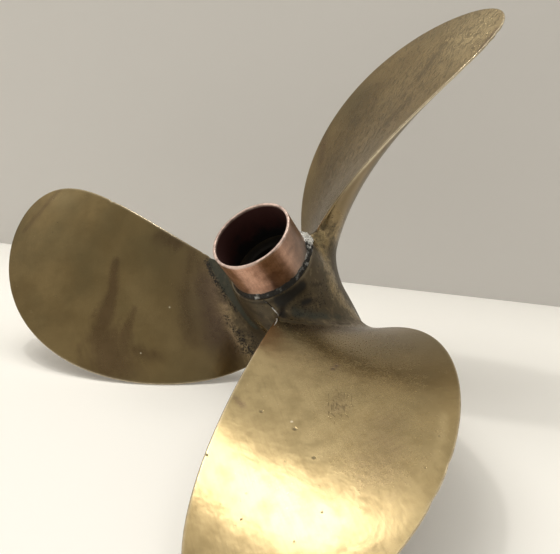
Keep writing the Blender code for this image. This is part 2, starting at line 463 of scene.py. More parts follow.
class Shading(NodeGraph):
    """A material's node tree, with the textures that the finishes share."""

    def __init__(self, name: str) -> None:
        """Makes a material with an empty tree.

        Args:
            name: The material's name.
        """
        self.material = bpy.data.materials.new(name)
        self.material.use_nodes = True
        self.material.node_tree.nodes.clear()
        super().__init__(self.material.node_tree)
        self.place = self.add("ShaderNodeTexCoord", output="Object")

    def noise(self, scale: float, detail: float = 3.0, roughness: float = 0.55,
              vector: Wire | None = None) -> Wire:
        """Cloudy noise.

        Args:
            scale: Waves to the metre.
            detail: Octaves.
            roughness: How strong the finer octaves are.
            vector: The coordinates, if they aren't the object's.

        Returns:
            The noise, from 0 to 1.
        """
        sockets = {"Vector": vector or self.place, "Scale": scale, "Detail": detail,
                   "Roughness": roughness}
        return self.add("ShaderNodeTexNoise", None, sockets, "Fac")

    def cells(self, scale: float, feature: str = "F1") -> Wire:
        """How far a place is from scattered points, or another feature of their cells."""
        sockets = {"Vector": self.place, "Scale": scale, "Randomness": 1.0}
        return self.add("ShaderNodeTexVoronoi", {"feature": feature}, sockets, "Distance")

    def painted(self, name: str) -> Wire:
        """The strength that is painted on the mesh under this name."""
        return self.add("ShaderNodeAttribute", {"attribute_name": name}, None, "Fac")

    def distance(self, vector: Wire, place: Sequence[float]) -> Wire:
        """How far a vector is from a fixed place."""
        return self.add("ShaderNodeVectorMath", {"operation": "DISTANCE"},
                        {0: vector, 1: place}, "Value")

    def chart(self, name: str) -> Wire:
        """The coordinates that the mesh holds under this name."""
        return self.add("ShaderNodeAttribute", {"attribute_name": name}, None, "Vector")

    def streaks(self, chart: tuple[Wire, Wire, Wire], angle: float, length: float, width: float,
                detail: float = 2.0) -> Wire:
        """Noise drawn out along one way of a chart.

        Args:
            chart: The chart's three coordinates, in metres but for the last.
            angle: The way, in degrees from the first coordinate.
            length: The streaks' length in metres.
            width: Their width in metres.
            detail: Octaves.

        Returns:
            The noise, from 0 to 1.
        """
        along, reach, number = chart
        c, n = math.cos(math.radians(angle)), math.sin(math.radians(angle))
        far = (along * c + reach * n) / length
        across = (reach * c - along * n) / width
        place = self.combine(far, across, number * STREAK_SHIFT + angle)
        return self.noise(1.0, detail, STREAK_ROUGHNESS, place)

    def tint(self, factor: Value, first: Wire | Colour, second: Wire | Colour,
             blend: str = "MIX") -> Wire:
        """Two colours mixed.

        Args:
            factor: The share of the second colour.
            first: The first colour.
            second: The second colour.
            blend: The way of mixing.

        Returns:
            The mixed colour.
        """
        def full(colour: Wire | Colour) -> Wire | tuple[float, ...]:
            """A colour with its alpha."""
            return colour if isinstance(colour, Wire) else (*colour, 1.0)

        sockets = {"Factor_Float": factor, "A_Color": full(first), "B_Color": full(second)}
        settings = {"data_type": "RGBA", "blend_type": blend, "clamp_factor": True}
        return self.add("ShaderNodeMix", settings, sockets, "Result_Color")

    def bump(self, height: Wire, distance: float, strength: float = 1.0,
             under: Wire | None = None) -> Wire:
        """A normal for a height from 0 to 1 times a distance, on the normal of what is under it."""
        sockets = {"Height": height, "Distance": distance, "Strength": strength, "Normal": under}
        return self.add("ShaderNodeBump", None, sockets, "Normal")

    def surface(self, sockets: dict) -> bpy.types.Material:
        """Ends the tree in a Principled shader with these inputs and gives the material."""
        return self.finish(self.add("ShaderNodeBsdfPrincipled", None, sockets, "BSDF"))

    def finish(self, shader: Wire) -> bpy.types.Material:
        """Ends the tree in any shader.

        Args:
            shader: The shader.

        Returns:
            The material.
        """
        end = self.tree.nodes.new("ShaderNodeOutputMaterial")
        self.tree.links.new(shader.socket, end.inputs["Surface"])
        return self.material


@dataclass(frozen=True)
class BronzeFinish:
    """Cast bronze that was ground and polished long ago, and has browned.

    spot_fade holds a spot's core and rim, in metres for each millimetre of its radius, and each of
    the cuts is a scratch's angle, length and width.
    """

    polished: Colour = (0.335, 0.244, 0.115)
    browned: Colour = (0.225, 0.157, 0.069)
    olive: Colour = (0.205, 0.162, 0.083)
    rubbed: Colour = (0.50, 0.390, 0.210)
    bare: Colour = (0.72, 0.63, 0.47)
    plum: Colour = (0.120, 0.078, 0.084)
    back: Colour = (0.218, 0.168, 0.102)
    tarnish: Colour = (0.62, 0.60, 0.56)
    verdigris: Colour = (0.046, 0.048, 0.034)
    grime: Colour = (0.055, 0.042, 0.025)
    soot: Colour = (0.010, 0.008, 0.006)
    smear: Colour = (0.62, 0.58, 0.63)
    roughness: float = 0.215
    spot_fade: tuple[float, float] = (0.0004, 0.0015)
    fine_cuts: tuple[Cut, ...] = ((66, 0.0040, 0.00044), (98, 0.0050, 0.00036))
    broad_cuts: tuple[Cut, ...] = (
        (76, 0.0060, 0.00075), (104, 0.0050, 0.0007), (50, 0.0040, 0.0007))
    # The bright spots are painted glints.
    spots: tuple[Spot, ...] = (
        Spot(Blade.FRONT, (38.7, 69.0), 0.45), Spot(Blade.FRONT, (32.7, 76.9), 0.55),
        Spot(Blade.FRONT, (32.4, 74.2), 0.35, True), Spot(Blade.FRONT, (32.5, 87.6), 0.45),
        Spot(Blade.FRONT, (57.7, 82.4), 0.32), Spot(Blade.FRONT, (12.6, 56.1), 0.50),
        Spot(Blade.FRONT, (11.0, 55.0), 0.40), Spot(Blade.LEFT, (5.3, 47.1), 0.35, True),
        Spot(Blade.LEFT, (-11.6, 61.8), 0.30, True), Spot(Blade.UPPER, (12.1, 58.5), 0.50),
        Spot(Blade.UPPER, (24.2, 54.8), 0.45),
    )

    def spotted(self, s: Shading, chart: Wire, bright: bool) -> Wire:
        """The strength of the spots of one kind at a place.

        Args:
            s: The material's tree.
            chart: The blade's chart.
            bright: True for the bright specks, which are painted glints, False for the dark pits.

        Returns:
            The strength, from 0 to 1.
        """
        total: Value = 0.0
        for spot in self.spots:
            if spot.bright is bright:
                place = (spot.place[0] / MM, spot.place[1] / MM, float(spot.blade.value))
                away = s.distance(chart, place)
                core, rim = (spot.radius * share for share in self.spot_fade)
                total = away.ramp(core, rim, 1.0, 0.0) + total
        return total.clamp()

    def material(self) -> bpy.types.Material:
        """Mixes the finish.

        Returns:
            The material.
        """
        s = Shading("weathered_bronze")
        chart = s.chart("chart")
        ways = s.split(chart)
        layer = {coat: s.painted(coat.value) for coat in Coat}
        edge, back = s.painted("edge"), s.painted("back")
        fine, middle = s.noise(1900, 2, 0.6), s.noise(560, 3, 0.62)
        mottle, broad, cloud = s.noise(190, 4, 0.62), s.noise(70, 4, 0.62), s.noise(26, 3)
        near_hub = ways[1].ramp(0.0185, 0.036, 1.0, 0.0)
        grain = (middle.ramp(0.42, 0.66) * 0.3 + fine.ramp(0.46, 0.62) * 0.7).clamp()

        colour = s.tint(0.60 * broad.ramp(0.36, 0.66), self.polished, self.browned)
        colour = s.tint(0.60 * cloud.ramp(0.40, 0.66), colour, self.olive)
        at_root = 0.65 * ways[1].ramp(0.024, 0.060, 1.0, 0.0)
        colour = s.tint((0.85 * back).at_least(at_root), colour, self.back)
        tarnish = (layer[Coat.TARNISH] * (0.6 + 0.8 * mottle)).clamp()
        colour = s.tint(tarnish, colour, s.tint(1.0, colour, self.tarnish, "MULTIPLY"))
        rubbed = (layer[Coat.RUBBED] * (0.70 + 0.6 * mottle.ramp(0.3, 0.6))).clamp()
        colour = s.tint(rubbed, colour, self.rubbed)
        colour = s.tint(0.32 * (layer[Coat.PEBBLE] * grain), colour, self.browned)
        ground = s.streaks(ways, 84, 0.014, 0.0007).ramp(0.47, 0.66)
        colour = s.tint(0.12 * ground, colour, self.browned)
        colour = s.tint((layer[Coat.PLUM] * (0.4 + 0.8 * mottle)).clamp(), colour, self.plum)
        wiped = s.streaks(ways, 3, 0.006, 0.0012).swing(0.35)
        smudge = (layer[Coat.SMEAR] + mottle.swing(0.45) + wiped).ramp(0.06, 0.85)
        colour = s.tint(smudge, colour, s.tint(1.0, colour, self.smear, "MULTIPLY"))

        upper = ways[2].near(Blade.UPPER.value)
        scratch = self.scratches(s, ways, layer[Coat.SCUFF], upper)
        pits = self.pits(s, mottle, near_hub)
        spots = self.spotted(s, chart, False)
        sparkle = self.spotted(s, chart, True)
        crust = (layer[Coat.BURN] + middle.swing(0.8) + fine.swing(1.7)).ramp(0.40, 0.66)
        clean = 0.60 * layer[Coat.RUBBED].ramp(0.15, 0.42)
        dirt = (near_hub + mottle.swing(0.8) + middle.swing(1.0) - clean).ramp(0.30, 0.85)
        # This layer is soot, and also painted shade on the hub's end and bore inside the sleeve.
        soot_and_shade_mask = (layer[Coat.SOOT] + mottle.swing(0.45) + middle.swing(0.25)).ramp(0.12, 0.80)
        black = crust.at_least(soot_and_shade_mask * 0.95).at_least(spots * 0.5).at_least(pits * 0.8).clamp()
        green = (layer[Coat.VERDIGRIS] + mottle.swing(0.5)).ramp(0.2, 0.6)
        colour = s.tint(0.84 * dirt, colour, self.grime)
        grey_wear = near_hub * s.noise(420, 4, 0.7).ramp(0.52, 0.66)
        colour = s.tint(0.12 * grey_wear, colour, self.rubbed)
        colour = s.tint((green * (0.55 + 0.8 * middle)).clamp(), colour, self.verdigris)
        colour = s.tint(scratch * (0.50 + 0.1 * upper), colour, self.grime)
        colour = s.tint(black, colour, self.soot)
        # Edges go pale: partly wear, partly a painted highlight on the rounded edges and along the
        # hub's aft rim; bright specks are painted glints.
        wear_and_highlight = (edge * (0.5 + 1.1 * (middle - 0.3))).clamp() * (1.0 - black)
        wear_and_highlight = wear_and_highlight * ways[1].ramp(0.030, 0.060, 0.26, 1.0)
        colour = s.tint(wear_and_highlight.at_least(sparkle), colour, self.bare)

        rough = self.roughness + mottle.swing(0.10) + 0.10 * layer[Coat.PEBBLE] * grain
        rough = rough + 0.22 * dirt + 0.20 * green + 0.08 * back + 0.25 * black + 0.10 * scratch
        rough = (rough + 0.06 * layer[Coat.SMEAR] + 0.05 * layer[Coat.TARNISH]).clamp()
        metallic = 1.0 - (0.7 * black).at_least(0.6 * green).at_least(0.25 * dirt)
        lumps = 0.45 * middle + 0.55 * fine
        relief = lumps * (0.07 + 0.20 * layer[Coat.PEBBLE] + 0.9 * near_hub + 0.25 * back)
        sunken = pits.at_least(spots) + 0.35 * scratch + 0.3 * crust
        normal = s.bump(broad, 0.00030, 0.4)
        normal = s.bump(relief, 0.00005, 1.0, normal)
        normal = s.bump(1.0 - sunken, 0.00012, 0.8, normal)
        return s.surface({"Base Color": colour, "Roughness": rough, "Metallic": metallic,
                          "Normal": normal})

    def scratches(self, s: Shading, ways: tuple[Wire, Wire, Wire], scuff: Wire,
                  upper: Wire) -> Wire:
        """Short dark scratches in several directions, thick where the scuff layer is strong.

        Args:
            s: The material's tree.
            ways: The blade's chart.
            scuff: The scuff layer.
            upper: 1 on the upper blade, whose scratches are broad scrapes.

        Returns:
            The scratches' strength, from 0 to 1.
        """
        kinds: list[Value] = []
        for cuts, levels in ((self.fine_cuts, (0.69, 0.75)), (self.broad_cuts, (0.675, 0.705))):
            total: Value = 0.0
            for cut in cuts:
                total = (s.streaks(ways, *cut, 1.0) + 0.20 * scuff).ramp(*levels) + total
            kinds.append(total)
        fine, broad = kinds
        return ((fine * (1.0 - upper) + broad * upper) * scuff.ramp(0.0, 0.15)).clamp()

    @staticmethod
    def pits(s: Shading, mottle: Wire, near_hub: Wire) -> Wire:
        """Scattered casting pits.

        Args:
            s: The material's tree.
            mottle: The noise that gathers them.
            near_hub: How near the hub a place is.

        Returns:
            The pits' strength, from 0 to 1.
        """
        few = (mottle + 0.16 * near_hub).ramp(0.60, 0.74)
        small = few * s.cells(620).ramp(0.12, 0.22, 1.0, 0.0)
        large = near_hub * mottle * s.cells(330).ramp(0.10, 0.20, 1.0, 0.0)
        return (small + large).clamp()


@dataclass(frozen=True)
class CopperFinish:
    """A drawn copper sleeve, rubbed bright outside; within, dark oxide goes black deeper down as
    painted shade.
    """

    bright: Colour = (0.60, 0.350, 0.245)
    browned: Colour = (0.34, 0.165, 0.100)
    washed: Colour = (0.25, 0.195, 0.165)
    # The rim's pale colour is partly the cut copper and partly a painted highlight along its top.
    rim: Colour = (0.74, 0.57, 0.50)
    # The oxide and black colours paint the inside: oxide near the mouth, black deeper down as
    # painted shade.
    oxide: Colour = (0.040, 0.007, 0.005)
    black: Colour = (0.004, 0.003, 0.003)
    roughness: float = 0.31

    def material(self) -> bpy.types.Material:
        """Mixes the finish.

        Returns:
            The material.
        """
        s = Shading("copper")
        ways = s.split(s.chart("sleeve"))
        wash, rim = s.painted("wash"), s.painted("rim")
        cloud, fine = s.noise(230, 4, 0.6), s.noise(2200, 2, 0.6)
        brushed = s.streaks(ways, 4, 0.006, 0.00020)
        drawn = s.streaks(ways, 90, 0.012, 0.0008)
        colour = s.tint(0.8 * cloud.ramp(0.38, 0.68), self.bright, self.browned)
        colour = s.tint(0.30 * drawn.ramp(0.45, 0.7), colour, self.browned)
        colour = s.tint(0.30 * fine.ramp(0.5, 0.7), colour, self.washed)
        colour = s.tint((1.25 * wash + cloud.swing(0.6)).clamp(), colour, self.washed)
        # Painted shade: inside the sleeve the colour goes from dark oxide at the mouth to black
        # deeper down.
        within = ways[2].ramp(0.0, 0.10)
        deep_shade = (ways[2] * 0.9 + s.noise(150, 3).swing(0.9)).ramp(0.45, 0.85)
        colour = s.tint(within, colour, s.tint(deep_shade, self.oxide, self.black))
        # The rim is pale in patches: partly cut copper, partly a painted highlight along its top.
        wear_and_highlight = s.noise(420, 4, 0.6).ramp(0.32, 0.64, 0.50, 1.0)
        colour = s.tint(rim, colour, s.tint(wear_and_highlight, self.oxide, self.rim))
        rough = self.roughness + brushed.swing(0.16) + 0.12 * wash + 0.45 * within
        rough = rough + fine.swing(0.15)
        normal = s.bump(brushed, 0.00003, 0.8)
        normal = s.bump(cloud, 0.00010, 0.6, normal)
        return s.surface({"Base Color": colour, "Roughness": rough, "Normal": normal,
                          "Metallic": 1.0 - 0.8 * within * (1.0 - rim)})


@dataclass(frozen=True)
class SolderFinish:
    """Soft solder: bright and crumbly on the lump, dark with flux elsewhere."""

    silver: Colour = (0.88, 0.88, 0.86)
    grey: Colour = (0.16, 0.16, 0.155)
    flux: Colour = (0.016, 0.014, 0.012)
    roughness: float = 0.22

    def material(self) -> bpy.types.Material:
        """Mixes the finish.

        Returns:
            The material.
        """
        s = Shading("solder")
        bright = s.painted("bright")
        lumps, fine = s.noise(900, 4, 0.65), s.noise(3200, 2, 0.6)
        colour = s.tint((bright + lumps.swing(0.6)).ramp(0.25, 0.7), self.grey, self.silver)
        dirt = (0.76 - 0.68 * bright + s.noise(480, 4, 0.65).swing(2.4)).ramp(0.30, 0.56)
        crack = s.cells(1300, "DISTANCE_TO_EDGE").ramp(0.02, 0.10, 1.0, 0.0) * bright.ramp(0.2, 0.6)
        colour = s.tint(dirt.at_least(0.8 * crack * lumps.ramp(0.4, 0.55)), colour, self.flux)
        rough = (self.roughness + 0.35 * (fine - 0.4) + 0.12 * dirt + 0.12 * bright).clamp()
        normal = s.bump(lumps, 0.00035)
        normal = s.bump(fine, 0.00008, 1.0, normal)
        return s.surface({"Base Color": colour, "Roughness": rough, "Metallic": 1.0 - 0.5 * dirt,
                          "Normal": normal})


@dataclass(frozen=True)
class MattFinish:
    """A plain matt surface of the studio, with a glow of its own and, if asked, a clear back."""

    name: str
    colour: Colour
    glow: float = 0.0
    see_through_back: bool = False

    def material(self) -> bpy.types.Material:
        """Mixes the finish.

        Returns:
            The material.
        """
        s = Shading(self.name)
        matt = s.add("ShaderNodeBsdfDiffuse", None, {"Color": (*self.colour, 1.0)})
        own = s.add("ShaderNodeEmission", None,
                    {"Color": (*self.colour, 1.0), "Strength": self.glow})
        matt = s.add("ShaderNodeAddShader", None, {0: matt, 1: own})
        if self.see_through_back:
            clear = s.add("ShaderNodeBsdfTransparent")
            back = s.add("ShaderNodeNewGeometry", output="Backfacing")
            matt = s.add("ShaderNodeMixShader", None, {0: back, 1: matt, 2: clear})
        return s.finish(matt)


@dataclass(frozen=True)
class ShaftFrame:
    """The propeller's own frame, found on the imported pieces."""

    matrix: Matrix

    @classmethod
    def find(cls, coupling: bpy.types.Object, blade: bpy.types.Object, rim: float,
             tip_turn: float) -> "ShaftFrame":
        """Finds the frame from a round piece on the shaft axis and a blade's tip.

        Args:
            coupling: The CAD node of the round piece.
            blade: The CAD node of the blade at turn 0.
            rim: The height of the round piece's far end, in the propeller's frame.
            tip_turn: The turn of the blade's tip, in radians.

        Returns:
            The frame.
        """
        ring, skin = (np.array([v.co for v in o.data.vertices]) for o in (coupling, blade))
        centre = ring.mean(0)
        spreads, axes = np.linalg.eigh(np.cov((ring - centre).T))
        gaps = np.diff(spreads)
        axis = axes[:, 0 if gaps[0] > gaps[1] else 2]
        tip = skin[np.argmax(np.linalg.norm(np.cross(skin - centre, axis), axis=1))]
        axis *= np.sign((centre - skin.mean(0)) @ axis)
        origin = centre + axis * (((ring - centre) @ axis).max() - rim)
        out = tip - origin
        out -= axis * (out @ axis)
        out /= np.linalg.norm(out)
        across = Matrix.Rotation(-tip_turn, 3, Vector(axis)) @ Vector(out)
        columns = Matrix((across, Vector(axis).cross(across), Vector(axis))).transposed()
        return cls(Matrix.Translation(Vector(origin)) @ columns.to_4x4())


@dataclass(frozen=True)
class HubSizes:
    """The boss: a crowned barrel with a bore and a keyway."""

    aft_radius: float = 0.0163
    middle_radius: float = 0.0180
    forward_radius: float = 0.0170
    aft_length: float = 0.02151
    forward_length: float = 0.0290
    edge_chamfer: float = 0.0008
    bore_radius: float = 0.0095
    keyway_width: float = 0.0048
    keyway_depth: float = 0.0024

    def radius(self, z: np.ndarray) -> np.ndarray:
        """The outer radius at a height.

        Args:
            z: Heights in the propeller's frame.

        Returns:
            The radii.
        """
        aft = np.clip(z, 0, self.aft_length) / self.aft_length
        forward = np.clip(-z, 0, self.forward_length) / self.forward_length
        fall = (self.middle_radius - self.aft_radius) * aft**2
        return self.middle_radius - fall - (self.middle_radius - self.forward_radius) * forward**2


@dataclass(frozen=True)
class BladeSizes:
    """One blade: a helicoid section from the root to the tip, as the CAD model has it."""

    tip_radius: float = 0.127
    root_pitch: float = 0.225
    tip_pitch: float = 0.183
    root_width: float = 0.034
    tip_width: float = 0.173
    sweep_length: float = 0.061
    rake_length: float = 0.045
    rake_relief_length: float = 0.015
    root_thickness: float = 0.0110
    tip_thickness: float = 0.0018
    face_share: float = 0.2
    face_fullness: float = 2.0
    back_leading_fullness: float = 2.0
    back_trailing_fullness: float = 4.0
    tip_fade: float = 3.0
    edge_radius: float = 0.00035
    face_trailing_fillet: float = 0.0060
    face_leading_fillet: float = 0.0145
    back_fillet: float = 0.0080
    trailing_edge_fillet: float = 0.0060
    leading_edge_fillet: float = 0.0120
    fit_gap: float = 0.0003
    edge_trim: float = 0.00015
    tip_trim: float = 0.00040
    follow_power: float = 6.0
    nick_power: float = 4.0
    crowding: float = 0.85
    span_steps: int = 160
    round_steps: int = 152

    @property
    def tip_turn(self) -> float:
        """The turn of the tip of the blade at turn 0, in radians."""
        return -self.sweep_length / math.hypot(self.tip_radius, self.tip_pitch / TURN)


@dataclass(frozen=True)
class Nick:
    """A small dent in a blade's edge."""

    blade: Blade
    edge: Edge
    reach: float
    width: float
    depth: float


@dataclass
class BladeSkins:
    """The three blades' skins, open at the root, as a Geometry Nodes tree."""

    sizes: BladeSizes
    hub: HubSizes
    nicks: tuple[Nick, ...] = ()

    @staticmethod
    def fillet_growth(above: Wire, fillet: Value) -> Wire:
        """How far a round fillet stands out at a height above the hub."""
        share = 1.0 - (above / fillet).clamp()
        return (1.0 - (1.0 - share * share).at_least(0.0).root()) * fillet

    @staticmethod
    def hub_radius(height: Wire, size: SimpleNamespace) -> Wire:
        """The hub's outer radius at a height, as HubSizes.radius gives it.

        Args:
            height: The height in the propeller's frame.
            size: The tree's inputs by name.

        Returns:
            The radius.
        """
        middle, up, down = size.middle_radius, size.aft_length, size.forward_length
        aft = (height.at_least(0.0).at_most(up) / up) ** 2.0
        forward = ((-height).at_least(0.0).at_most(down) / down) ** 2.0
        fall = (middle - size.aft_radius) * aft
        return middle - fall - (middle - size.forward_radius) * forward

    def edge_cut(self, reach: Wire, number: Wire, edge: Edge) -> Wire:
        """How far the nicks of one edge cut into the blades.

        Args:
            reach: The distance from the shaft.
            number: The blade's number.
            edge: The edge.

        Returns:
            The depth of the cut.
        """
        cut: Value = self.sizes.edge_trim
        for nick in self.nicks:
            if nick.edge is edge:
                off = (reach - nick.reach) / nick.width
                cut = (-(off * off)).exp() * number.near(nick.blade.value) * nick.depth + cut
        return cut

    @staticmethod
    def sheets(tree: GeometryTree, size: SimpleNamespace) -> Wire:
        """Adds a flat sheet for each blade, one above the other.

        Args:
            tree: The tree.
            size: The tree's inputs by name.

        Returns:
            The sheets, each one metre square.
        """
        grid = tree.add("GeometryNodeMeshGrid", None, {
            "Size X": 1.0, "Size Y": 1.0, "Vertices X": size.span_steps + 1.0,
            "Vertices Y": size.round_steps + 1.0}, "Mesh")
        stack = tree.add("GeometryNodeMeshLine", None, {
            "Count": tree.size("blades", len(Blade)), "Offset": (0.0, 0.0, 1.0)}, "Mesh")
        copies = tree.add("GeometryNodeInstanceOnPoints", None,
                          {"Points": stack, "Instance": grid})
        return tree.add("GeometryNodeRealizeInstances", None, {"Geometry": copies})

    def mesh(self, material: bpy.types.Material) -> bpy.types.Mesh:
        """Builds the skins in the propeller's frame.

        Args:
            material: The casting's material.

        Returns:
            The mesh, with the vector attributes "chart" (the way along the section, the distance
            from the shaft and the blade's number) and "section" (the cosine and sine of the angle
            round the section, and the share of the span).
        """
        tree = GeometryTree("blade_skins")
        size = tree.sizes_of(self.hub, self.sizes)
        sheets = self.sheets(tree, size)
        row, column, number = tree.split(tree.add("GeometryNodeInputPosition"))

        row = row + 0.5
        span = row - size.crowding * (row * TURN).sine() / TURN
        angle = (column + 0.5) * TURN
        root = size.middle_radius + size.fit_gap
        radius = blend(root, size.tip_radius - size.tip_trim, span)
        lead = blend(size.root_pitch, size.tip_pitch, span) / TURN
        slant = (radius * radius + lead * lead).root()
        above = radius - root
        is_face, across = angle.sine().over(0.0), angle.cosine()
        is_trailing, to_trailing = across.over(0.0), (across + 1.0) / 2.0
        face_fillet = blend(size.face_leading_fillet, size.face_trailing_fillet, to_trailing)
        fillet = blend(size.back_fillet, face_fillet, is_face)
        edge_fillet = blend(size.leading_edge_fillet, size.trailing_edge_fillet, is_trailing)
        edge_length = size.edge_radius + self.fillet_growth(above, edge_fillet)
        left = (1.0 - span).at_least(0.0)
        width = blend(size.root_width, size.tip_width, span)
        half_chord = width * left.root() / 2.0 + edge_length - size.edge_radius
        thickness = blend(size.root_thickness, size.tip_thickness, span)
        back_fullness = blend(size.back_leading_fullness, size.back_trailing_fullness, to_trailing)
        fullness = blend(back_fullness, size.face_fullness, is_face)
        share = (1.0 - size.face_share) + (2.0 * size.face_share - 1.0) * is_face
        into = 1.0 - (half_chord * (1.0 - across.size()) / edge_length).clamp()
        nose = (1.0 - into * into).at_least(0.0).root()
        fade = (size.tip_fade * left.root()).at_most(1.0)
        plate = share * (thickness - 2.0 * size.edge_radius)
        body = plate * (1.0 - across.size() ** fullness) * fade
        stand = nose * (size.edge_radius + self.fillet_growth(above, fillet)) + body
        offset = (is_face * 2.0 - 1.0) * stand
        outer = across.size() ** size.nick_power
        cut_trailing = self.edge_cut(radius, number, Edge.TRAILING) * is_trailing
        cut_leading = self.edge_cut(radius, number, Edge.LEADING) * (1.0 - is_trailing)
        along = size.sweep_length * span * span + half_chord * across
        along = along - outer * (cut_trailing - cut_leading)
        rake = size.rake_length * span - size.rake_relief_length * span * span
        turn = offset * lead / (slant * radius) - along / slant
        height = rake + along * lead / slant + offset * radius / slant
        follow = left ** size.follow_power
        sink = self.hub_radius(height, size) - size.middle_radius - size.fit_gap
        reach = radius + sink * follow
        turn = turn + number * TURN / len(Blade)
        place = tree.combine(reach * turn.cosine(), reach * turn.sine(), height)

        charted = tree.store(sheets, "chart", tree.combine(along, radius, number))
        charted = tree.store(charted, "section", tree.combine(across, angle.sine(), span))
        shaped = tree.add("GeometryNodeSetPosition", None, {"Geometry": charted, "Position": place})
        sewn = tree.add("GeometryNodeMergeByDistance", None,
                        {"Geometry": shaped, "Distance": MERGE_DISTANCE})
        tree.finish(sewn, material)
        return tree.mesh("blade_skins")


def rows_of(items: bpy.types.bpy_prop_collection, name: str) -> np.ndarray:
    """A vector of each of a mesh's items, as an array of rows.

    Args:
        items: The vertices, or an attribute's values.
        name: The property that holds the vector.

    Returns:
        One row of three numbers for each item.
    """
    values = np.zeros(len(items) * 3, np.float32)
    items.foreach_get(name, values)
    return values.reshape(-1, 3).astype(float)


def inside_polygon(points: np.ndarray, outline: np.ndarray) -> np.ndarray:
    """Which points of a plane lie within a closed outline.

    Args:
        points: The points, two numbers a row.
        outline: The outline's corners in order.

    Returns:
        True for each point within.
    """
    x, y = points[:, :1], points[:, 1:]
    ax, ay = outline[:, 0], outline[:, 1]
    bx, by = np.roll(ax, -1), np.roll(ay, -1)
    crosses = (ay > y) != (by > y)
    rise = np.where(by == ay, 1.0, by - ay)
    return (np.sum(crosses & (x < ax + (y - ay) * (bx - ax) / rise), axis=1) % 2) == 1


def triangulate(points: np.ndarray, loops: Sequence[Sequence[int]]) -> np.ndarray:
    """Triangles over a plane's points that keep the edges of closed loops.

    Args:
        points: The points, two numbers a row.
        loops: The loops, as lists of point numbers.

    Returns:
        The triangles, three point numbers a row.
    """
    edges = [(loop[i - 1], loop[i]) for loop in loops for i in range(len(loop))]
    verts, _, faces, sources, _, _ = delaunay_2d_cdt(
        [Vector(p) for p in points], edges, [], 0, TINY)
    if len(verts) != len(points):
        log.warning("triangulation kept %d of %d points", len(verts), len(points))
    source = [ids[0] if ids else -1 for ids in sources]
    triangles = np.array([[source[i] for i in face] for face in faces])
    a, b, c = (points[triangles[:, i]] for i in range(3))
    area = np.abs((b - a)[:, 0] * (c - a)[:, 1] - (b - a)[:, 1] * (c - a)[:, 0]) / 2
    return triangles[area > SLIVER_AREA]


@dataclass
class MeshParts:
    """Points and faces gathered from several strips, to be joined in one mesh."""

    places: list[np.ndarray] = field(default_factory=list)
    faces: list[tuple[int, ...]] = field(default_factory=list)
    count: int = 0

    def add(self, places: np.ndarray, faces: Iterable[Sequence[int]]) -> None:
        """Adds a piece.

        Args:
            places: Its points, three numbers a row.
            faces: Its faces, by the numbers of its own points.
        """
        self.places.append(np.asarray(places, float))
        self.faces.extend(tuple(int(i) + self.count for i in face) for face in faces)
        self.count += len(places)

    def strip(self, rings: Sequence[np.ndarray]) -> None:
        """Adds a band of faces from ring to ring.

        Args:
            rings: Closed rings in order, with the same number of points in each.
        """
        steps = len(rings[0])
        faces = [(k * steps + i, k * steps + (i + 1) % steps,
                  (k + 1) * steps + (i + 1) % steps, (k + 1) * steps + i)
                 for k in range(len(rings) - 1) for i in range(steps)]
        self.add(np.concatenate(rings), faces)

    def mesh(self, name: str) -> bpy.types.Mesh:
        """Joins all the strips in one mesh.

        Args:
            name: The mesh's name.

        Returns:
            The mesh.
        """
        mesh = bpy.data.meshes.new(name)
        mesh.from_pydata(np.concatenate(self.places), [], self.faces)
        return mesh


def polar(radius: np.ndarray | float, turn: np.ndarray, height: np.ndarray | float) -> np.ndarray:
    """Points of the propeller's frame from radius, turn in radians and height."""
    radius, turn, height = np.broadcast_arrays(radius, turn, height)
    return np.stack([radius * np.cos(turn), radius * np.sin(turn), height], axis=-1)


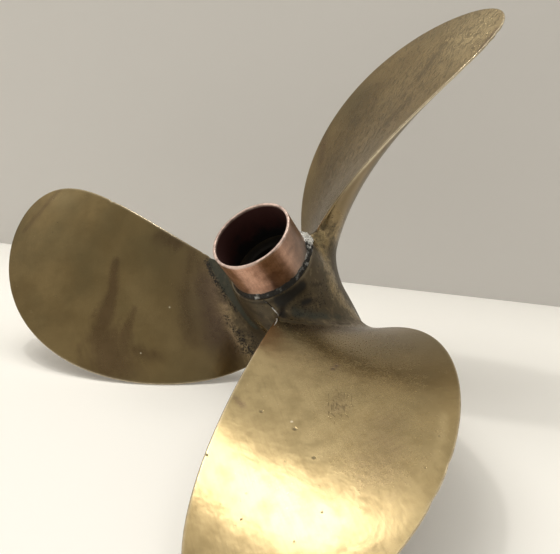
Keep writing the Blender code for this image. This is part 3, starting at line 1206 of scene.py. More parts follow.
@dataclass
class HubSkin:
    """The hub's outside between the blade roots, its ends and its bore.

    The barrel is meshed unrolled, with every turn sheared along the roots' lead, so that the roots
    stand upright. Lattice points less than root_gap grid steps from a root are left out.
    """

    sizes: HubSizes
    root_lead: float
    grid_step: float = 0.0012
    root_gap: float = 0.55
    bore_steps: int = 96
    bore_rows: int = 24

    def sheared(self, rings: Sequence[np.ndarray]) -> list[np.ndarray]:
        """Shears the root outlines and puts them in order round the hub.

        Args:
            rings: The root outlines, as (turn, height) rows in order round each.

        Returns:
            The outlines, with their middles one share of a turn apart.
        """
        shear = [np.stack([ring[:, 0] + ring[:, 1] / self.root_lead, ring[:, 1]], 1)
                 for ring in rings]
        middle = shear[0][:, 0].mean()
        moved = []
        for k, ring in enumerate(shear):
            turns = np.round((middle + k * TURN / len(shear) - ring[:, 0].mean()) / TURN)
            moved.append(ring + [turns * TURN, 0.0])
        return moved

    def lattice(self, turns: np.ndarray, low: float, high: float) -> np.ndarray:
        """Points in rows, every other row half a step along.

        Args:
            turns: The columns' turns.
            low: The height of the first row.
            high: The height of the last row.

        Returns:
            The points, as (turn, height) rows.
        """
        rows, columns = round((high - low) / self.grid_step), len(turns) - 1
        shifted = np.concatenate([turns[:1], turns[:-1] + TURN / columns / 2, turns[-1:]])
        points = []
        for k, height in enumerate(np.linspace(low, high, rows + 1)):
            line = shifted if 0 < k < rows and k % 2 else turns
            points.append(np.stack([line, np.full(len(line), height)], 1))
        return np.concatenate(points)

    def outside(self, rings: Sequence[np.ndarray],
                parts: MeshParts) -> tuple[np.ndarray, np.ndarray]:
        """Adds the barrel between the roots.

        Args:
            rings: The root outlines, as (turn, height) rows in order round each.
            parts: Where the faces go.

        Returns:
            The barrel's aft and forward edges as rings of points.
        """
        s = self.sizes
        low, high = -s.forward_length + s.edge_chamfer, s.aft_length
        roots = self.sheared(rings)
        start = (roots[0][:, 0].min() + roots[-1][:, 0].max() - TURN) / 2
        columns = round(TURN * s.middle_radius / self.grid_step)
        turns = start + np.arange(columns + 1) * TURN / columns
        lattice, root_points = self.lattice(turns, low, high), np.concatenate(roots)
        away = np.full(len(lattice), np.inf)
        for point in root_points:
            steps = (lattice - point) * [s.middle_radius, 1.0]
            away = np.minimum(away, np.linalg.norm(steps, axis=1))
        keep = away > self.grid_step * self.root_gap
        for root in roots:
            keep &= ~inside_polygon(lattice, root)
        keep |= np.isin(lattice[:, 1], (low, high)) | np.isin(lattice[:, 0], turns[[0, -1]])
        chosen = lattice[keep]
        loops = [self.border_loop(chosen, low, turns[-1], high, turns[0])]
        total = len(chosen)
        for root in roots:
            loops.append(list(range(total, total + len(root))))
            total += len(root)
        flat = np.concatenate([chosen, root_points])
        turn = flat[:, 0] - flat[:, 1] / self.root_lead
        triangles = triangulate(np.stack([turn * s.middle_radius, flat[:, 1]], 1), loops)
        centres = flat[triangles].mean(axis=1)
        outside = inside_polygon(centres, flat[loops[0]])
        for root in roots:
            outside &= ~inside_polygon(centres, root)
        parts.add(polar(s.radius(flat[:, 1]), turn, flat[:, 1]), triangles[outside])
        aft, forward = (polar(s.radius(np.array(z)), turns[:-1] - z / self.root_lead, z)
                        for z in (high, low))
        return aft, forward

    @staticmethod
    def border_loop(points: np.ndarray, low: float, right: float, high: float,
                    left: float) -> list[int]:
        """The points on a rectangle's border, in order round it.

        Args:
            points: The points, two numbers a row.
            low: The lower side.
            right: The right side.
            high: The upper side.
            left: The left side.

        Returns:
            The points' numbers.
        """
        loop: list[int] = []
        for column, level, sign in ((1, low, 1), (0, right, 1), (1, high, -1), (0, left, -1)):
            side = np.flatnonzero(points[:, column] == level)
            order = np.argsort(sign * points[side, 1 - column], kind="stable")
            loop += side[order][:-1].tolist()
        return loop

    def bore_outline(self, offset: float) -> np.ndarray:
        """The outline of bore and keyway, moved outwards by an offset.

        Args:
            offset: How far outwards.

        Returns:
            The outline's corners, anticlockwise, two numbers a row.
        """
        s = self.sizes
        radius, half = s.bore_radius + offset, s.keyway_width / 2 + offset
        start = math.asin(half / radius)
        turn = np.linspace(start, TURN - start, self.bore_steps)
        arc = np.stack([radius * np.cos(turn), radius * np.sin(turn)], 1)
        bottom = s.bore_radius + s.keyway_depth + offset
        return np.concatenate([arc, [[bottom, -half], [bottom, half]]])

    def ends_and_bore(self, aft: np.ndarray, forward: np.ndarray, parts: MeshParts) -> None:
        """Adds the rim chamfer, both end faces and the bore with its keyway.

        Args:
            aft: The ring at the barrel's aft edge.
            forward: The ring at its forward edge.
            parts: Where the faces go.
        """
        s = self.sizes
        low, high, chamfer = -s.forward_length, s.aft_length, s.edge_chamfer
        turn = np.arctan2(forward[:, 1], forward[:, 0])
        rim = polar(s.forward_radius - chamfer, turn, low)
        parts.strip([forward, rim])
        wide, narrow = self.bore_outline(chamfer), self.bore_outline(0.0)
        for ring, height in ((aft, high), (rim, low)):
            flat = np.concatenate([ring[:, :2], wide])
            loops = [list(range(len(ring))), list(range(len(ring), len(flat)))]
            triangles = triangulate(flat, loops)
            centres = flat[triangles].mean(axis=1)
            solid = inside_polygon(centres, ring[:, :2]) & ~inside_polygon(centres, wide)
            parts.add(np.column_stack([flat, np.full(len(flat), height)]), triangles[solid])
        depths = np.linspace(high - chamfer, low + chamfer, self.bore_rows)
        levels = [(wide, high), *((narrow, z) for z in depths), (wide, low)]
        parts.strip([np.column_stack([outline, np.full(len(outline), z)])
                     for outline, z in levels])


STROKES: dict[tuple[Coat, Blade | None], tuple[StrokeRow, ...]] = {
    (Coat.TARNISH, Blade.LEFT): (
        (0, 40, 40, 90, 45, 60, 0.30),
    ),
    (Coat.SMEAR, Blade.LEFT): (
        (26.8, 69.0, 15, 69.0, 2.2, 2.8, 0.90), (15, 69.0, 5, 72.5, 2.8, 4.2, 0.95),
        (5, 72.5, -4, 75.5, 4.2, 6.0, 0.85), (-4, 73, -14, 73, 8.0, 11.0, 0.85),
        (6.5, 60.5, 0, 64, 1.6, 2.4, 0.60), (0, 64, -9, 68, 2.6, 5.0, 0.75),
        (3.5, 66.5, -4, 69.5, 0.8, 1.5, 0.6), (-10, 64, -13, 58, 3.5, 4.0, 0.6),
        (-15, 84, -5, 83, 3.0, 2.0, 0.45), (12.5, 73.3, 4.9, 78.5, 0.7, 0.8, 0.5),
        (30, 36, 10.7, 39.8, 4.6, 4.0, 0.45), (10.7, 39.8, -9, 43.5, 4.0, 4.2, 0.55),
        (34, 51, 31, 43, 4.5, 4.5, 0.65), (20, 33, -16, 33, 6, 7, 0.5),
        (76, 111, 57, 120.5, 2.4, 2.8, 0.5),
    ),
    (Coat.RUBBED, Blade.LEFT): (
        (66, 103, 70, 112, 4.5, 4.0, 0.20), (14, 60, -10, 52, 5, 5, 0.10),
    ),
    (Coat.PLUM, Blade.LEFT): (
        (13, 30, -8, 33, 6, 7, 0.42), (9, 26.5, 4, 26.5, 2, 2, 0.5),
    ),
    (Coat.VERDIGRIS, Blade.LEFT): (
        (22, 28, 12, 24.0, 2.6, 2.3, 1.0), (12, 24.0, 4, 20.8, 2.3, 1.7, 0.95),
        (4, 20.8, -3, 19, 1.6, 1.0, 0.8),
    ),
    (Coat.BURN, Blade.LEFT): (
        (22, 31.0, 12.8, 27.4, 1.6, 1.4, 0.62), (12.8, 27.4, 3.0, 22.8, 1.4, 1.2, 0.56),
        (0, 27.6, -6.3, 26.3, 1.4, 2.2, 0.45), (-6.3, 26.0, -16, 26.4, 2.8, 3.4, 0.50),
        (-8, 22.5, -14, 23, 2.2, 2.7, 0.42),
    ),
    (Coat.SOOT, Blade.LEFT): (
        (-5, 24, -17, 25, 2.5, 3.5, 0.25),
    ),
    (Coat.PEBBLE, Blade.LEFT): (
        (10, 50, 40, 100, 30, 30, 0.22),
    ),
    (Coat.PEBBLE, Blade.FRONT): (
        (4, 50, 16, 84, 26, 22, 1.0), (16, 84, 34, 112, 22, 20, 0.28),
    ),
    (Coat.TARNISH, Blade.FRONT): (
        (-8, 36, -16, 92, 20, 12, 0.35),
    ),
    (Coat.RUBBED, Blade.FRONT): (
        (26, 50, 40, 110, 26, 40, 0.58), (36, 52, 64, 92, 4, 9, 0.38),
        (60, 100, 30, 120, 14, 14, 0.50), (14, 108, -2, 92, 4, 2, 0.45),
    ),
    (Coat.SMEAR, Blade.FRONT): (
        (16, 30, -10, 33, 4, 6, 0.65), (12, 86, 22, 98, 9, 10, 0.42),
        (12.8, 56.3, 10.8, 55.0, 0.9, 1.1, 1.0), (44.2, 63.5, 43.0, 66.5, 1.2, 1.2, 0.8),
        (17, 69, 20, 74, 4, 5, 0.4),
    ),
    (Coat.SOOT, Blade.FRONT): (
        (20, 27.4, 4, 26.8, 1.3, 1.4, 0.60), (4, 26.8, -9, 26.5, 1.4, 1.0, 0.50),
    ),
    (Coat.SCUFF, Blade.FRONT): (
        (16.8, 69.6, 20, 76, 3, 3, 0.4),
    ),
    (Coat.TARNISH, Blade.UPPER): (
        (-8, 36, 8, 84, 20, 20, 1.0), (20, 50, 44, 96, 24, 20, 0.35),
    ),
    (Coat.SCUFF, Blade.UPPER): (
        (12, 60, 62, 118, 20, 28, 0.40), (46, 106, 40, 89, 4.0, 3.5, 0.90),
        (42, 79, 33, 68, 3.0, 3.5, 0.80),
    ),
    (Coat.SMEAR, Blade.UPPER): (
        (45, 105, 39, 86, 2.2, 2.0, 0.30), (42, 79, 37, 70, 2.2, 2.6, 0.35),
        (-14, 66, -18, 86, 4, 4, 0.6), (70, 103, 73, 114, 1.5, 1.5, 0.8),
    ),
    (Coat.RUBBED, Blade.UPPER): (
        (66, 118, 58, 106, 13, 15, 0.60), (48, 98, 26, 84, 11, 9, 0.15),
        (20.6, 32, 20.6, 24, 6.0, 5.0, 0.36),
    ),
    (Coat.VERDIGRIS, Blade.UPPER): (
        (-12, 52, 2, 34, 6, 8, 0.26),
    ),
    (Coat.PEBBLE, Blade.UPPER): (
        (10, 50, 60, 110, 24, 30, 0.6),
    ),
    (Coat.SOOT, Blade.UPPER): (
        (15, 24.5, 19, 22.5, 1.8, 1.5, 0.60), (26.2, 37.2, 25.4, 36.6, 1.0, 0.9, 0.55),
        (18.8, 30.2, 18.4, 27.6, 1.1, 1.1, 0.55), (16.4, 29.4, 16.2, 28.4, 1.1, 1.1, 0.55),
        (20.2, 32.0, 20.0, 31.2, 0.8, 0.8, 0.45),
    ),
    (Coat.SOOT, None): (
        (94, 19.5, 128, 18.8, 2.2, 2.2, 1.0), (104, 16, 131, 11, 2.0, 2.2, 0.30),
        (138, 16, 150, 12, 1.0, 1.0, 0.55), (117, 13.8, 125, 12.5, 1.2, 1.2, 0.80),
        (40, 21, 86, 20.5, 1.3, 1.3, 0.55), (45, 17, 62, 13.5, 2.2, 2.4, 0.45),
    ),
    (Coat.BURN, None): (
        (112, 15, 132, 8, 2.4, 2.0, 0.40), (96, 14, 150, 9, 5.0, 5.0, 0.36),
    ),
    (Coat.VERDIGRIS, None): (
        (104, 15, 128, 4, 2.0, 2.2, 0.50), (128, 4, 140, -3, 2.2, 2.0, 0.45),
    ),
    (Coat.RUBBED, None): (
        (45, 8, 52, 1, 2.4, 2.6, 0.55), (206, 17, 184, 11, 7.0, 8.0, 0.36),
        (184, 11, 164, 4, 8.0, 8.0, 0.38), (164, 4, 158, -12, 6.5, 6.5, 0.36),
    ),
}


@dataclass
class Casting:
    """The hub and blades as the one bronze casting that they are.

    chart_turn is how far, in radians, the hub's share of each blade's chart is turned from the
    middle of the root.
    """

    hub: HubSizes = field(default_factory=HubSizes)
    blade: BladeSizes = field(default_factory=BladeSizes)
    finish: BronzeFinish = field(default_factory=BronzeFinish)
    nicks: tuple[Nick, ...] = (
        Nick(Blade.LEFT, Edge.TRAILING, 0.0799, 0.0009, 0.00045),
        Nick(Blade.LEFT, Edge.TRAILING, 0.0770, 0.0007, 0.00030),
        Nick(Blade.LEFT, Edge.TRAILING, 0.0301, 0.0010, 0.00045),
        Nick(Blade.LEFT, Edge.TRAILING, 0.0330, 0.0006, 0.00025),
        Nick(Blade.FRONT, Edge.LEADING, 0.1046, 0.0008, 0.00040),
        Nick(Blade.FRONT, Edge.LEADING, 0.1106, 0.0010, 0.00050),
        Nick(Blade.UPPER, Edge.TRAILING, 0.1130, 0.0009, 0.00050),
        Nick(Blade.UPPER, Edge.TRAILING, 0.1085, 0.0008, 0.00035),
        Nick(Blade.UPPER, Edge.TRAILING, 0.0960, 0.0006, 0.00030),
    )
    strokes: tuple[Stroke, ...] = tuple(
        Stroke(coat, blade, *row) for (coat, blade), rows in STROKES.items() for row in rows)
    # The next three sizes place the blades' pale edges: partly wear, partly a painted highlight.
    edge_wear: float = 0.0005
    wear_start: float = 0.1
    wear_rise: float = 6.0
    # The next strength is a painted highlight along the hub's aft rim.
    rim_wear: float = 0.6
    face_contrast: float = 40.0
    chart_turn: float = 0.28
    # Inside the next radius, aft of the blade roots, the hub is painted black as shade under the
    # sleeve.
    sleeve_radius: float = 0.0148

    def build(self, frame: ShaftFrame) -> bpy.types.Object:
        """Builds the casting.

        Args:
            frame: The propeller's frame.

        Returns:
            The finished object.
        """
        material = self.finish.material()
        skins = BladeSkins(self.blade, self.hub, self.nicks).mesh(material)
        chart, section = (rows_of(skins.attributes[name].data, "vector")
                          for name in ("chart", "section"))
        places = rows_of(skins.vertices, "co")
        rings = self.root_rings(chart, section, places)
        parts = MeshParts()
        parts.add(places, [tuple(p.vertices) for p in skins.polygons])
        hub = HubSkin(self.hub, self.blade.root_pitch / TURN)
        aft, forward = hub.outside(rings, parts)
        hub.ends_and_bore(aft, forward, parts)
        bpy.data.meshes.remove(skins)

        mesh = parts.mesh("casting")
        self.add_charts(mesh, chart, section)
        return sewn_piece(mesh, material, frame)

    @staticmethod
    def root_rings(chart: np.ndarray, section: np.ndarray,
                   places: np.ndarray) -> list[np.ndarray]:
        """The root outlines of the three blades.

        Args:
            chart: The blades' charts.
            section: The blades' sections.
            places: The blades' vertices.

        Returns:
            One outline for each blade, as (turn, height) rows in order.
        """
        rings = []
        for blade in Blade:
            own = np.round(chart[:, 2]) == blade.value
            at_root = np.flatnonzero((section[:, 2] < ROOT_SHARE) & own)
            angle = np.arctan2(section[at_root, 1], section[at_root, 0])
            x, y, z = places[at_root[np.argsort(angle)]].T
            rings.append(np.stack([np.unwrap(np.arctan2(y, x)), z], 1))
        return rings

    def hub_chart(self, places: np.ndarray) -> np.ndarray:
        """Carries the nearest blade's chart on over the hub.

        Args:
            places: The hub's vertices.

        Returns:
            Rows of the way along, the distance from the shaft and the blade's number.
        """
        x, y, z = places.T
        lead, middle = self.blade.root_pitch / TURN, self.hub.middle_radius
        slant = math.hypot(middle, lead)
        radius, turn = np.hypot(x, y), np.arctan2(y, x)
        number = np.round((turn + z / lead + self.chart_turn) * len(Blade) / TURN)
        own = turn - number * TURN / len(Blade)
        along = (z * lead / slant) - own * radius * middle / slant
        return np.stack([along, radius, np.mod(number, len(Blade))], 1)

    def edge_strength(self, section: np.ndarray) -> np.ndarray:
        """How far the blades' edges are painted pale: partly rubbed bare, partly a painted
        highlight on the rounded edge.

        Args:
            section: The blades' sections.

        Returns:
            The strength at each vertex, from 0 to 1.
        """
        size, span = self.blade, section[:, 2]
        width = blend(size.root_width, size.tip_width, span)
        from_edge = width * np.sqrt(np.clip(1 - span, 0, 1)) / 2 * (1 - np.abs(section[:, 0]))
        past_root = np.clip((span - self.wear_start) * self.wear_rise, 0, 1)
        return np.exp(-((from_edge / self.edge_wear) ** 2)) * past_root

    def add_charts(self, mesh: bpy.types.Mesh, chart: np.ndarray, section: np.ndarray) -> None:
        """Gives every vertex its place on the nearest blade's chart, and the painted strengths.

        Args:
            mesh: The casting, with the blades' vertices first.
            chart: The blades' charts.
            section: The blades' sections.
        """
        count, places = len(chart), rows_of(mesh.vertices, "co")
        full = np.concatenate([chart, self.hub_chart(places[count:])])
        add_layer(mesh, "chart", full)
        radius = np.hypot(places[:, 0], places[:, 1])
        barrel = np.stack([np.arctan2(places[:, 1], places[:, 0]), places[:, 2], radius], 1)
        on_face, edge = np.ones(len(places)), np.zeros(len(places))
        on_face[:count] = np.clip(section[:, 1] * self.face_contrast + 0.5, 0, 1)
        past_root = np.clip((radius - HUB_REACH) / HUB_BLEND, 0, 1)
        add_layer(mesh, "back", (1 - on_face) * past_root)
        # Painted shade: the hub's end and bore inside the sleeve get the full soot layer, which
        # paints them black.
        sleeve_shade = (radius < self.sleeve_radius) & (places[:, 2] > 0)
        for coat in Coat:
            strength = sleeve_shade * (1.0 if coat is Coat.SOOT else 0.0)
            for stroke in self.strokes:
                if stroke.coat is coat:
                    side = on_face if stroke.blade else 1.0
                    strength = np.maximum(strength, stroke.strengths(full, barrel) * side)
            add_layer(mesh, coat.value, strength)
        # Painted pale edges: partly wear, partly a painted highlight on the blades' rounded edges.
        edge[:count] = self.edge_strength(section)
        # Painted highlight: a pale line along the hub's aft rim, carried in the edge layer.
        off_rim = np.abs(places[:, 2] - self.hub.aft_length) + np.abs(radius - self.hub.aft_radius)
        add_layer(mesh, "edge", np.maximum(edge, self.rim_wear * (off_rim < RIM_DISTANCE)))


def sewn_piece(mesh: bpy.types.Mesh, material: bpy.types.Material,
               frame: ShaftFrame) -> bpy.types.Object:
    """Joins a mesh's strips where they meet, turns every face outwards and puts it in place.

    Args:
        mesh: The mesh, in the propeller's frame.
        material: The material of all its faces.
        frame: The propeller's frame.

    Returns:
        The finished object.
    """
    mesh.materials.append(material)
    bm = bmesh.new()
    bm.from_mesh(mesh)
    bmesh.ops.remove_doubles(bm, verts=bm.verts, dist=SEW_DISTANCE)
    loose = [v for v in bm.verts if not v.link_faces]
    bmesh.ops.delete(bm, geom=loose, context="VERTS")
    bmesh.ops.recalc_face_normals(bm, faces=bm.faces)
    open_edges = sum(1 for e in bm.edges if len(e.link_faces) != 2)
    log.info("%s: %d faces, %d open edges", mesh.name, len(bm.faces), open_edges)
    bm.to_mesh(mesh)
    bm.free()
    mesh.transform(frame.matrix)
    return finished_piece(mesh.name, mesh)


def add_layer(mesh: bpy.types.Mesh, name: str, values: np.ndarray) -> None:
    """Stores a number, or a row of three, on every vertex of a mesh.

    Args:
        mesh: The mesh.
        name: The layer's name.
        values: One number or row for each vertex.
    """
    kind, key = ("FLOAT_VECTOR", "vector") if values.ndim > 1 else ("FLOAT", "value")
    layer = mesh.attributes.new(name, kind, "POINT")
    layer.data.foreach_set(key, values.astype(np.float32).ravel())


def finished_piece(name: str, mesh: bpy.types.Mesh) -> bpy.types.Object:
    """Links a mesh as an object at the origin, shaded smooth but for its sharp edges.

    Args:
        name: The piece's name.
        mesh: Its mesh, in place.

    Returns:
        The object.
    """
    mesh.shade_smooth()
    mesh.set_sharp_from_angle(angle=SHARP_ANGLE)
    return new_object(name, mesh)


@dataclass
class Coupling:
    """The thin copper sleeve on the hub's aft face."""

    radius: float = 0.0150
    wall: float = 0.0010
    length: float = 0.0165
    rim_round: float = 0.0002
    steps: int = 192
    rows: int = 20
    round_steps: int = 4
    rim_margin: float = 1.01
    mouth_shade: float = 0.12
    wash_turn: float = 165.0
    wash_spread: float = 38.0
    wash_strength: float = 0.8
    wash_fall: float = 0.5
    foot_stain: float = 0.0022
    foot_strength: float = 0.5
    finish: CopperFinish = field(default_factory=CopperFinish)

    def profile(self, foot: float) -> list[tuple[float, float, float]]:
        """The wall's section, from the foot up the outside, over the rim and down the inside.

        Args:
            foot: The height of the foot.

        Returns:
            Rows of radius, height and how far inside the point is, from 0 to 1.
        """
        rim, inner, curve = foot + self.length, self.radius - self.wall, self.rim_round
        slopes = np.arange(self.round_steps + 1) / self.round_steps * math.pi / 2
        rows = [(self.radius, z, 0.0) for z in np.linspace(foot, rim - curve, self.rows)]
        rows += [(self.radius - curve + curve * math.cos(slope),
                  rim - curve + curve * math.sin(slope), 0.0) for slope in slopes[1:]]
        rows += [(inner + curve - curve * math.sin(slope),
                  rim - curve + curve * math.cos(slope), 0.0) for slope in slopes[:-1]]
        rows += [(inner, z, 1.0) for z in np.linspace(rim - curve, foot, self.rows)]
        return rows

    def build(self, frame: ShaftFrame, foot: float) -> bpy.types.Object:
        """Builds the sleeve.

        Args:
            frame: The propeller's frame.
            foot: The height of the foot on the shaft axis.

        Returns:
            The finished object.
        """
        turn = np.arange(self.steps) * TURN / self.steps
        rows = self.profile(foot)
        rows.append(rows[0])
        parts = MeshParts()
        parts.strip([polar(radius, turn, height) for radius, height, _ in rows])
        _, heights, within = np.repeat(np.array(rows), self.steps, axis=0).T
        turns = np.tile(turn, len(rows))
        up = (heights - foot) / self.length
        # Painted shade: the inside layer grows from the mouth down to the foot, so the sleeve's
        # inside darkens with depth.
        inside = within * (self.mouth_shade + (1 - self.mouth_shade) * (within * (1 - up)))
        mesh = parts.mesh("copper_sleeve")
        add_layer(mesh, "sleeve", np.stack([turns * self.radius, heights, inside], 1))
        wash = bump_at(turns, self.wash_turn, self.wash_spread) * (1 - self.wash_fall * up)
        at_foot = np.exp(-(((heights - foot) / self.foot_stain) ** 2))
        add_layer(mesh, "wash", self.wash_strength * wash + self.foot_strength * at_foot)
        # The rim layer marks the wall's top, painted pale partly as a highlight.
        rim = foot + self.length - self.rim_round * self.rim_margin
        add_layer(mesh, "rim", (heights > rim).astype(float))
        return sewn_piece(mesh, self.finish.material(), frame)


@dataclass
class SolderWork:
    """The solder round the coupling's foot, with the lump beside the upper blade."""

    height: float = 0.0020
    width: float = 0.0009
    lump_height: float = 0.0037
    lump_width: float = 0.0029
    lump_turn: float = 199.0
    lump_spread: float = 22.0
    bead_hollow: float = 0.5
    lump_hollow: float = 0.2
    steps: int = 540
    rows: int = 18
    waver: float = 0.32
    wave_reach: float = 4.0
    wave_level: float = 0.3
    wave_shape: tuple[float, float, int] = (0.8, 2.0, 4)
    pitting: float = 0.00022
    pit_reach: float = 22.0
    pit_rise: float = 4.0
    bead_pits: float = 0.35
    bright_turns: tuple[tuple[float, float, float], ...] = (
        (198, 20, 1.0), (68, 5, 0.42), (76, 2, 0.2), (160, 22, 0.44),
        (136, 5, 0.26), (104, 3, 0.2), (330, 15, 0.4))
    finish: SolderFinish = field(default_factory=SolderFinish)

    def build(self, frame: ShaftFrame, foot: float, inner: float) -> bpy.types.Object:
        """Builds the bead.

        Args:
            frame: The propeller's frame.
            foot: The height of the hub's aft face.
            inner: The sleeve's outer radius.

        Returns:
            The finished object.
        """
        turn = np.arange(self.steps) * TURN / self.steps
        lump = bump_at(turn, self.lump_turn, self.lump_spread)
        places = self.circle(turn, self.wave_reach, self.wave_level)
        wave = np.abs([noise.fractal(place, *self.wave_shape) for place in places])
        height = blend(self.height, self.lump_height, lump) * (1 - self.waver * wave)
        width = blend(self.width, self.lump_width, lump) * (1 - self.waver * wave[::-1])
        hollow = blend(self.bead_hollow, self.lump_hollow, lump)
        rings = [polar(inner, turn, foot)]
        for slope in np.linspace(0, math.pi / 2, self.rows):
            out = (1 - hollow) * math.cos(slope) + hollow * (1 - math.sin(slope))
            up = (1 - hollow) * math.sin(slope) + hollow * (1 - math.cos(slope))
            places = self.circle(turn, self.pit_reach, slope * self.pit_rise)
            rough = np.abs([noise.noise(place) for place in places])
            dent = self.pitting * rough * (self.bead_pits + lump) * math.sin(2 * slope)
            rings.append(polar(inner + width * out - dent, turn, foot + height * up - dent))
        parts = MeshParts()
        parts.strip(rings + rings[:1])
        mesh = parts.mesh("solder_ring")
        bright = np.zeros(self.steps)
        for middle, spread, strength in self.bright_turns:
            bright = np.maximum(bright, strength * bump_at(turn, middle, spread))
        add_layer(mesh, "bright", np.tile(bright, len(rings) + 1))
        return sewn_piece(mesh, self.finish.material(), frame)

    @staticmethod
    def circle(turn: np.ndarray, reach: float, level: float) -> list[Vector]:
        """Places round a circle at which a noise is read."""
        return [Vector((reach * math.cos(t), reach * math.sin(t), level)) for t in turn]


@dataclass
class SolderGrains:
    """Crystals and spatter scattered on the bright parts of the solder, by Geometry Nodes."""

    density: float = 3.2e6
    smallest: float = 0.00008
    largest: float = 0.00032
    threshold: float = 0.5
    seed: int = 11

    def build(self, ring: bpy.types.Object) -> bpy.types.Object:
        """Scatters the grains on the solder ring.

        Args:
            ring: The finished ring.

        Returns:
            The finished object.
        """
        tree = GeometryTree("solder_grains")
        base = tree.base()
        size = tree.sizes_of(self)
        points = tree.add("GeometryNodeDistributePointsOnFaces", {"distribute_method": "RANDOM"}, {
            "Mesh": base, "Selection": tree.layer("bright").over(size.threshold),
            "Density": size.density, "Seed": size.seed}, "Points")
        crystal = tree.add("GeometryNodeMeshIcoSphere", None,
                           {"Radius": 1.0, "Subdivisions": 1}, "Mesh")
        scale = tree.add("FunctionNodeRandomValue", {"data_type": "FLOAT"}, {
            "Min_001": size.smallest, "Max_001": size.largest,
            "Seed": size.seed}, "Value_001")
        turned = tree.add("FunctionNodeRandomValue", {"data_type": "FLOAT_VECTOR"}, {
            "Min": (0.0, 0.0, 0.0), "Max": (TURN, TURN, TURN), "Seed": size.seed}, "Value")
        grains = tree.add("GeometryNodeInstanceOnPoints", None, {
            "Points": points, "Instance": crystal, "Rotation": turned,
            "Scale": tree.combine(scale, scale, scale)})
        tree.finish(grains, ring.data.materials[0])
        return finished_piece("solder_grains", tree.mesh("solder_grains", ring.data.copy()))


@dataclass
class SolderRun:
    """A thin run of solder from the bead down the front blade's edge, by Geometry Nodes."""

    stations: tuple[tuple[float, float, float, float], ...] = (
        (77, 0.0164, 0.0213, 0.00012),
        (80, 0.0168, 0.0200, 0.00017),
        (83, 0.0174, 0.0176, 0.00020),
        (86.5, 0.0190, 0.0167, 0.00026),
        (90, 0.0232, 0.0185, 0.00032),
        (93, 0.0272, 0.0218, 0.00022),
        (92, 0.0300, 0.0232, 0.00008),
    )
    steps: int = 48
    sides: int = 12
    start_bright: float = 0.25
    bright_station: float = 3.0

    def build(self, frame: ShaftFrame, casting: bpy.types.Object,
              material: bpy.types.Material) -> bpy.types.Object:
        """Lays the run on the casting.

        Args:
            frame: The propeller's frame.
            casting: The casting that it lies on.
            material: The solder's material.

        Returns:
            The finished object.
        """
        skin = BVHTree.FromPolygons([v.co for v in casting.data.vertices],
                                    [p.vertices for p in casting.data.polygons])
        table = np.array(self.stations)
        share = np.linspace(0, len(table) - 1, self.steps)
        turn, radius, height, width = (smooth_through(table[:, i], share) for i in range(4))
        places = [skin.find_nearest(frame.matrix @ Vector(p))[0]
                  for p in polar(radius, np.radians(turn), height)]
        path = bpy.data.meshes.new("solder_run_path")
        path.from_pydata(places, [(i, i + 1) for i in range(self.steps - 1)], [])
        add_layer(path, "width", width)
        bright = np.clip(share / self.bright_station, self.start_bright, 1.0)
        add_layer(path, "bright", bright)
        tree = GeometryTree("solder_run")
        base = tree.base()
        curve = tree.add("GeometryNodeMeshToCurve", None, {"Mesh": base}, "Curve")
        ring = tree.add("GeometryNodeCurvePrimitiveCircle", None,
                        {"Resolution": tree.size("sides", self.sides), "Radius": 1.0}, "Curve")
        tube = tree.add("GeometryNodeCurveToMesh", None, {
            "Curve": curve, "Profile Curve": ring, "Scale": tree.layer("width"), "Fill Caps": True})
        tree.finish(tube, material)
        return finished_piece("solder_run", tree.mesh("solder_run", path))


def bump_at(turn: np.ndarray, middle: float, spread: float) -> np.ndarray:
    """A smooth bump of height 1 round the shaft, with its middle and half width in degrees."""
    away = np.mod(turn - math.radians(middle) + math.pi, TURN) - math.pi
    return np.exp(-((away / math.radians(spread)) ** 2))


def smooth_through(values: np.ndarray, share: np.ndarray) -> np.ndarray:
    """A smooth curve through evenly spaced values.

    Args:
        values: The values at 0, 1, 2 and so on.
        share: Where the curve is read.

    Returns:
        The curve's values.
    """
    padded = np.concatenate([[2 * values[0] - values[1]], values, [2 * values[-1] - values[-2]]])
    k = np.clip(share.astype(int), 0, len(values) - 2)
    t = share - k
    a, b, c, d = (padded[k + i] for i in range(4))
    bent = 2 * b + (c - a) * t + (2 * a - 5 * b + 4 * c - d) * t**2
    return 0.5 * (bent + (3 * b - 3 * c + d - a) * t**3)


@dataclass(frozen=True)
class SoftLight:
    """A round soft light that points at the propeller, as discs one over the other.

    Each disc has its half angle, seen from the propeller, and its own glow, so that the light
    fades from its middle outwards.
    """

    name: str
    heading: float
    height: float
    distance: float
    discs: tuple[tuple[float, float], ...]
    colour: Colour

    def build(self, target: Vector) -> None:
        """Places the discs.

        Args:
            target: The point that they face.
        """
        a, e = math.radians(self.heading), math.radians(self.height)
        way = Vector((math.sin(a) * math.cos(e), math.cos(a) * math.cos(e), math.sin(e)))
        for half_angle, glow in self.discs:
            data = bpy.data.lights.new(self.name, "AREA")
            data.shape = "DISK"
            data.size = 2 * self.distance * math.tan(math.radians(half_angle))
            data.color = self.colour
            data.energy = glow * math.pi * math.pi * data.size**2 / 4
            obj = new_object(self.name, data)
            obj.location = target + way * self.distance
            obj.rotation_euler = way.to_track_quat("Z", "Y").to_euler()


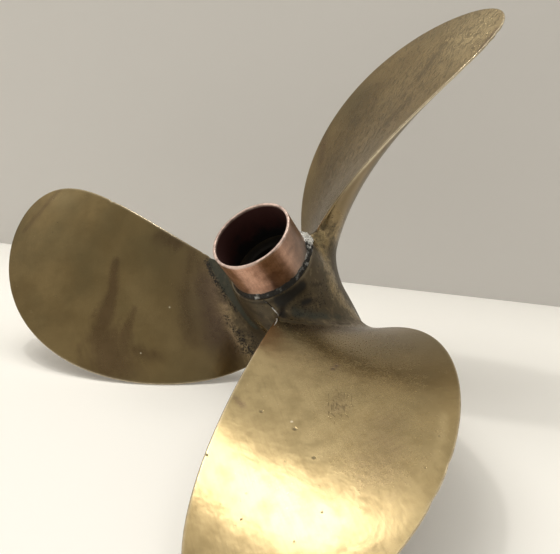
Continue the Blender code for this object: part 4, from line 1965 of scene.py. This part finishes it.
@dataclass
class Studio:
    """A pale floor, a plain low wall behind it, two soft lights and a dim room."""

    floor: MattFinish = MattFinish("floor", (0.92, 0.905, 0.87), 0.10)
    wall: MattFinish = MattFinish("wall", (0.56, 0.540, 0.512), 0.17, True)
    room_glow: Colour = (0.44, 0.42, 0.375)
    wall_start: tuple[float, float] = (-0.2879, 0.0420)
    wall_end: tuple[float, float] = (0.0513, 0.2004)
    wall_half_length: float = 1.6
    wall_height: float = 0.26
    floor_half_length: float = 2.5
    target: tuple[float, float, float] = (0.0, 0.0, 0.06)
    lights: tuple[SoftLight, ...] = (
        SoftLight("ceiling_light", -99.5, 67.0, 1.4,
                  ((42.0, 0.34), (36.0, 1.0), (22.0, 1.5), (18.0, 3.0), (14.5, 1.4),
                   (2.2, 98.0)), (1.0, 0.97, 0.90)),
        SoftLight("fill", 40.0, 60.0, 1.6, ((9.0, 3.0),), (1.0, 0.95, 0.86)),
    )

    def sheet(self, finish: MattFinish, corners: Sequence[Sequence[float]]) -> None:
        """Adds a flat sheet of the stage.

        Args:
            finish: Its finish.
            corners: Its corners in order.
        """
        mesh = bpy.data.meshes.new(finish.name)
        mesh.from_pydata([tuple(c) for c in corners], [], [tuple(range(len(corners)))])
        mesh.materials.append(finish.material())
        new_object(finish.name, mesh)

    def build(self) -> None:
        """Builds the stage and its lights."""
        side = self.floor_half_length
        self.sheet(self.floor, [(-side, -side, 0), (side, -side, 0),
                                (side, side, 0), (-side, side, 0)])
        start, end = Vector((*self.wall_start, 0)), Vector((*self.wall_end, 0))
        middle, way = (start + end) / 2, (end - start).normalized()
        left, right = middle - way * self.wall_half_length, middle + way * self.wall_half_length
        up = Vector((0, 0, self.wall_height))
        self.sheet(self.wall, [left, right, right + up, left + up])
        for light in self.lights:
            light.build(Vector(self.target))
        world = bpy.data.worlds.new("room")
        world.use_nodes = True
        world.node_tree.nodes["Background"].inputs["Color"].default_value = (*self.room_glow, 1.0)
        bpy.context.scene.world = world
        bpy.context.scene.view_settings.view_transform = "Standard"


@dataclass
class PhotoCamera:
    """The camera, at the photograph's place and angle."""

    place: tuple[float, float, float] = (0.17538, -0.16390, 0.10671)
    heading: float = 41.283
    drop: float = 9.171
    roll: float = 2.185
    focal_pixels: float = 661.18
    centre_pixel: tuple[float, float] = (299.244, 209.556)
    image_pixels: tuple[int, int] = (560, 554)
    sensor_width: float = 36.0
    clip_start: float = 0.01

    def build(self) -> None:
        """Makes the scene's camera."""
        wide, high = self.image_pixels
        data = bpy.data.cameras.new("photo_camera")
        data.sensor_width = self.sensor_width
        data.lens = self.focal_pixels * self.sensor_width / wide
        data.shift_x = (wide / 2 - self.centre_pixel[0]) / wide
        data.shift_y = (self.centre_pixel[1] - high / 2) / wide
        data.clip_start = self.clip_start
        heading, drop, roll = (math.radians(a) for a in (self.heading, self.drop, self.roll))
        turn = Matrix.Rotation(heading, 4, "Z") @ Matrix.Rotation(math.pi / 2 - drop, 4, "X")
        obj = new_object("photo_camera", data)
        obj.matrix_world = Matrix.Translation(self.place) @ turn @ Matrix.Rotation(roll, 4, "Z")
        bpy.context.scene.camera = obj


def main() -> None:
    """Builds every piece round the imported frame, in order."""
    logging.basicConfig(level=logging.INFO, format="%(name)s: %(message)s")
    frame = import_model()
    nodes = frame["nodes"]
    casting, coupling, solder = Casting(), Coupling(), SolderWork()
    hub, blade = casting.hub, casting.blade
    shaft = ShaftFrame.find(nodes["copper_coupling"], nodes[Blade.LEFT.node],
                            hub.aft_length + coupling.length, blade.tip_turn)
    log.info("shaft frame %s", [[round(v, 6) for v in row] for row in shaft.matrix])
    bronze = casting.build(shaft)
    sleeve = coupling.build(shaft, hub.aft_length)
    ring = solder.build(shaft, hub.aft_length, coupling.radius)
    grains = SolderGrains().build(ring)
    run = SolderRun().build(shaft, bronze, ring.data.materials[0])
    pieces = [
        (bronze, "bronze", ["hub"] + [b.node for b in Blade]),
        (sleeve, "copper", ["copper_coupling"]),
        (ring, "solder", ["solder_bead"]),
        (grains, "solder", []),
        (run, "solder", []),
    ]
    for piece, slot, replaced in pieces:
        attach(piece, BODY)
        if replaced:
            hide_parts(*replaced)
        log.info("%s: %d faces", piece.name, len(piece.data.polygons))
    Studio().build()
    PhotoCamera().build()


if __name__ == "__main__":
    main()
